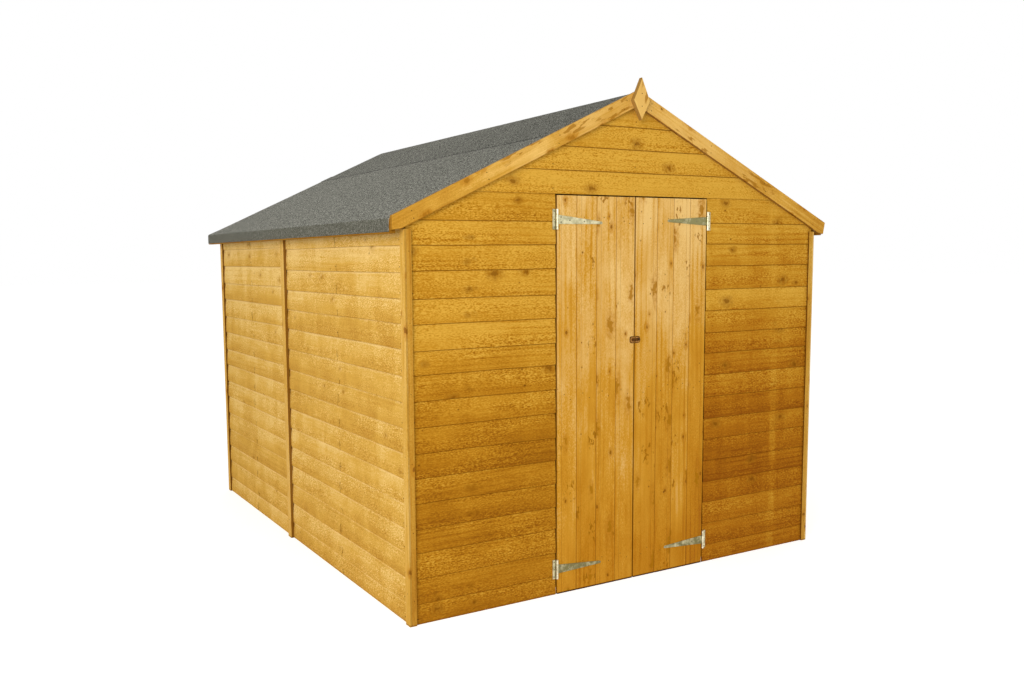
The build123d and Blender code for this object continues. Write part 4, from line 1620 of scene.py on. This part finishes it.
@dataclass
class Hinges:
    """The upper and lower tee hinge of one leaf."""
    side: int
    heights: tuple[float, float] = (120.0, 1716.0)
    strap_length: float = 252.0
    drops: tuple[float, float] = (0.0, 0.0)     # how far each strap's tip hangs low
    reflection_shades: tuple[float, float] = (0.0, 0.0)    # painted reflection: how much paler each strap is drawn
    root: float = 42.0                  # width of a strap at the pin
    tip: float = 12.0                   # and at its rounded end
    sheet: float = 2.5
    knuckle: float = 5.4                # radius of the roll round the pin
    flap_width: float = 21.0            # from the pin's middle to the flap's edge
    flap_height: float = 90.0
    flap_near: float = 6.5              # where the flap starts, beside the knuckle
    pin_in: float = 5.5                 # from the outside of the knuckle to the pin's middle
    gap: float = 1.0                    # between the knuckles of strap and flap

    def build(self) -> None:
        """Builds straps that ride on the leaf, and flaps that ride on the shed."""
        name = side_name(self.side)
        straps, flaps = f"{name}_hinge_straps", f"{name}_hinge_flaps"
        low, high = box(flaps)
        pin = (abs(box(straps)[0].x) if self.side < 0 else box(straps)[1].x) - self.pin_in
        face = box(f"{name}_door_boards")[0].y
        pin_y = low.y + self.pin_in
        moving = Piece(f"{name}_tee_straps", GALVANISED, ZINC, RECESS, HIGHLIT_KNUCKLE)
        fixed = Piece(f"{name}_tee_flaps", GALVANISED, ZINC, RECESS, HIGHLIT_KNUCKLE)
        for z, drop, shade in zip(self.heights, self.drops, self.reflection_shades):
            strap = Stand(Vector((self.side * pin, face, z)), -self.side * X, Z, -Y)
            tip, radius = self.strap_length, self.tip / 2
            outline = [(0.0, -self.root / 2)]
            for i in range(9):
                angle = -math.pi / 2 + math.pi * i / 8
                outline.append((tip - radius + radius * math.cos(angle),
                                radius * math.sin(angle)))
            outline.append((0.0, self.root / 2))
            outline = [(a, c - drop * a / tip) for a, c in outline]
            # each strap gets its own painted reflection, paler or darker, and the flaps a paler one
            plate(moving, strap, outline, self.sheet, tone=shade)
            for along, across in (*STRAP_SCREWS, (tip - 9, 0)):
                screw(moving, moved(strap, along, across - drop * along / tip, self.sheet),
                      3.9 if along < tip - 20 else 3.2)
            near, far, half = self.flap_near, self.flap_width, self.flap_height / 2
            plate(fixed, Stand(Vector((self.side * pin, PLAN.front, z)), self.side * X, Z, -Y),
                  [(near, -half), (far, -half), (far, half), (near, half)], self.sheet, tone=1.0)
            for across in FLAP_SCREWS:
                screw(fixed, Stand(Vector((self.side * (pin + 14.0), PLAN.front - self.sheet,
                                           z + across)), X, Z, -Y), 3.2)
            self.rolls(moving, fixed, Vector((self.side * pin, pin_y, z)))
        moving.finish(f"{name}_door", "galvanised", (straps,))
        fixed.finish("shed", "galvanised", (flaps,))

    def rolls(self, moving: Piece, fixed: Piece, centre: Vector) -> None:
        """Adds the rolled knuckles and the pin of one hinge.

        Args:
            moving: takes the strap's knuckle.
            fixed: takes the flap's two knuckles and the pin's ends.
            centre: middle of the pin.
        """
        half, end = self.root / 2, self.flap_height / 2
        for piece, low, high in ((moving, -half, half), (fixed, half + self.gap, end),
                                 (fixed, -end, -half - self.gap)):
            axis = Stand(centre, X, Y, Z)
            r = self.knuckle
            turned(piece, axis, [(r - 0.6, low), (r, low + 0.6), (r, high - 0.6),
                                 (r - 0.6, high)], sides=20, finish=3)
        for piece, low, high in ((fixed, end - 1.0, end), (fixed, -end, -end + 1.0)):
            turned(piece, Stand(centre, X, Y, Z), [(2.4, low), (2.4, high)], sides=12, finish=1)


@dataclass
class LatchHalf:
    """Half of the small latch where the leaves meet: one rounded plate, cut at their joint."""
    side: int
    corner: float = 11.0                # radius of the plate's outer corners
    base: float = 3.0                   # thickness of the plate itself
    rim: float = 3.5                    # width of the dark rim round the paler face

    def shape(self, near: float, far: float, half: float,
              corner: float) -> list[tuple[float, float]]:
        """Outline that is square at the meeting edge and rounded at its far corners.

        Args:
            near: its edge at the meeting of the leaves.
            far: its outer edge.
            half: half its height.
            corner: radius of the outer corners.

        Returns:
            Its corners in order.
        """
        made = [(near, -half)]
        for start, up in ((-math.pi / 2, -1), (0.0, 1)):
            for i in range(7):
                angle = start + math.pi / 2 * i / 6
                made.append((far - corner + corner * math.cos(angle),
                             up * (half - corner) + corner * math.sin(angle)))
        return made + [(near, half)]

    def build(self) -> None:
        """Builds the plate, its sunk face, and the keep or the turn."""
        name = side_name(self.side)
        node = f"{name}_latch_plate"
        low, high = box(node)
        middle = (low.z + high.z) / 2
        near, far, deep = spread(node)
        half = (high.z - low.z) / 2
        stand = Stand(Vector((0, high.y, middle)), self.side * X, Z, -Y)
        piece = Piece(f"{name}_latch", LATCH, LATCH_RIM, RECESS)
        plate(piece, stand, self.shape(near, far, half, self.corner), self.base, 1.2)
        for margin, up, worn in ((self.rim, 0.3, 1), (2.4 * self.rim, 0.8, 0)):
            inner = self.shape(near, far - margin, half - margin, self.corner - margin / 2)
            plate(piece, moved(stand, 0, 0, self.base - 0.6 + up), inner, 1.2, 0.5, worn)
        # a broad turn on the right half and a small keep on the left
        knob, place = (6.5, 0.66) if self.side > 0 else (3.5, 0.42)
        turned(piece, moved(stand, near + (far - near) * place, 1.0, self.base + 0.4),
               [(knob, 0.0), (knob, 2.0), (knob - 0.8, deep - self.base - 1.0),
                (knob - 2.0, deep - self.base - 0.5)], sides=16, finish=2 if self.side > 0 else 0)
        piece.finish(f"{name}_door", "latch", (node,))


# ---- the framing that shows inside ----------------------------------------------------------
@dataclass(frozen=True)
class Framing:
    """Finishes of the CAD timbers and sheets that are seen as they are."""

    def build(self) -> None:
        """Dresses every CAD node that no piece stands for."""
        across = replace(FRAMING, name="sawn_batten_across", grain=Grain.ALONG_X)
        endways = replace(FRAMING, name="sawn_batten_endways", grain=Grain.ALONG_Y)
        upright = replace(FRAMING, name="sawn_batten_upright", grain=Grain.UPRIGHT)
        # the eaves batten is drawn darker, as painted shade under the felt
        eaves = replace(endways, name="sawn_batten_dipped_twice", deep="#6b4208", late="#875810",
                        body="#986716", pale="#ad7a26")
        sloping = replace(FRAMING, name="sawn_batten_sloping", grain=Grain.DOWN_SLOPE)
        worn = {"front_rails": across, "rear_rails": across, "left_rails": endways,
                "right_rails": endways, "front_studs": upright, "rear_studs": upright,
                "left_studs": upright, "right_studs": upright, "front_top_battens": sloping,
                "rear_top_battens": sloping, "roof_purlins": endways, "eaves_battens": eaves,
                "floor_bearers": endways, "floor_sheet": StrandBoard(),
                "left_roof_sheet": StrandBoard(), "right_roof_sheet": StrandBoard()}
        for node, recipe in worn.items():
            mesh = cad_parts[node].data
            mesh.materials.clear()
            mesh.materials.append(finish_of(recipe))
            LOG.info("%-24s dressed in %s", node, recipe.name)


# ---- studio ---------------------------------------------------------------------------------
@dataclass
class Studio:
    """Pale floor, soft light and the camera."""
    place: tuple[float, float, float] = (-2.8702, -4.8908, 1.5543)      # metres
    turn: float = 0.5161                # radians, from straight at the gable towards the right
    tilt: float = -0.1036
    roll: float = -0.0094
    lens: float = 33.22
    shift: tuple[float, float] = (0.0410, 0.0132)
    sky: float = 0.57                   # light that the surroundings give the shed
    floor_lift: float = 0.56            # what the floor adds for the camera, to read as white

    def camera(self) -> None:
        """Makes the camera and gives it to the scene."""
        data = bpy.data.cameras.new("camera")
        data.sensor_width, data.lens = 36.0, self.lens
        data.shift_x, data.shift_y = self.shift
        data.clip_end = 200.0
        made = placed("camera", data)
        turned_by = (Matrix.Rotation(-self.turn, 4, "Z")
                     @ Matrix.Rotation(math.pi / 2 + self.tilt, 4, "X")
                     @ Matrix.Rotation(self.roll, 4, "Z"))
        made.matrix_world = Matrix.Translation(self.place) @ turned_by
        bpy.context.scene.camera = made

    def lamp(self, name: str, place: tuple[float, float, float], size: float,
             power: float) -> None:
        """Adds a square soft light aimed at the middle of the shed.

        Args:
            name: its name.
            place: where it hangs, metres.
            size: its side, metres.
            power: watts.
        """
        data = bpy.data.lights.new(name, "AREA")
        data.shape, data.size, data.energy = "SQUARE", size, power
        made = placed(name, data)
        made.location = place
        aim = Vector((0.0, 0.0, 1.0)) - Vector(place)
        made.rotation_mode = "QUATERNION"
        made.rotation_quaternion = aim.to_track_quat("-Z", "Y")

    def seen(self, tree: Tree) -> Socket:
        """Adds nodes that give 1 on rays that show the background, and 0 on the rest.

        Args:
            tree: the tree that takes them.

        Returns:
            The value's socket.
        """
        path = add(tree, "LightPath").node.outputs
        seen = add(tree, "Math.MAXIMUM", path["Is Camera Ray"], path["Is Glossy Ray"])
        return add(tree, "Math.MAXIMUM", seen, path["Is Transmission Ray"])

    def world(self) -> None:
        """Makes the white surroundings, which light the shed at a plain level."""
        made = bpy.data.worlds.new("surroundings")
        tree = emptied(made)
        strength = add(tree, "MapRange", self.seen(tree), 0.0, 1.0, self.sky, 1.0)
        light = add(tree, "Background", color=(1.0, 1.0, 1.0, 1.0), strength=strength)
        add(tree, "OutputWorld", light)
        bpy.context.scene.world = made

    def floor(self) -> None:
        """Lays a wide pale floor that keeps the shed's shadow."""
        mesh = bpy.data.meshes.new("floor")
        half = 60.0
        mesh.from_pydata([(-half, -half, 0), (half, -half, 0), (half, half, 0), (-half, half, 0)],
                         [], [(0, 1, 2, 3)])
        made = placed("floor", mesh)
        paper = bpy.data.materials.new("studio_floor")
        tree = emptied(paper)
        base = add(tree, "BsdfDiffuse", color=linear("#f2f2f2"))
        lift = add(tree, "Math.MULTIPLY", self.seen(tree), self.floor_lift)
        glow = add(tree, "Emission", strength=lift)
        both = add(tree, "AddShader", base, glow)
        add(tree, "OutputMaterial", both)
        mesh.materials.append(paper)

    def build(self) -> None:
        """Sets up the whole studio."""
        self.camera()
        self.world()
        self.floor()
        self.lamp("key_left", (-8.5, -7.0, 3.6), 5.0, 600.0)
        self.lamp("fill_right", (5.5, -7.5, 2.4), 4.0, 50.0)
        bpy.context.scene.view_settings.view_transform = "Standard"


def main() -> None:
    """Builds the studio and then the shed, from its walls to its doors."""
    logging.basicConfig(level=logging.INFO, format="%(name)s: %(message)s")
    p = PLAN
    Studio().build()
    Framing().build()
    build_cladding()
    CornerTrims("front", p.front, -1, 51).build()
    CornerTrims("rear", p.rear, 1, 52).build()
    JointStrips().build()
    for place, face, out in (("front", p.front - 20, -1), ("rear", p.roof_rear + 20, 1)):
        for side, name in ((-1, "left"), (1, "right")):
            Bargeboard(f"{place}_{name}_barge", side, face, out, 70 + 3 * side + out,
                       lean=0.0 if name == "left" else 13.0,
                       lift=8.0 if name == "left" else 0.0,
                       short=11.0 if name == "left" else 0.0,
                       sink=0.0 if place == "front" else 11.5, tone=1.2).build()
    Finial().build()
    FeltRoof().build()
    Leaf(-1, 81, (0.245, 0.50, 0.755), EVEN_DOOR_BOARD, tone=0.8).build()
    Leaf(1, 86, (0.30, 0.53, 0.765), tone=0.0).build()


if __name__ == "__main__":
    main()
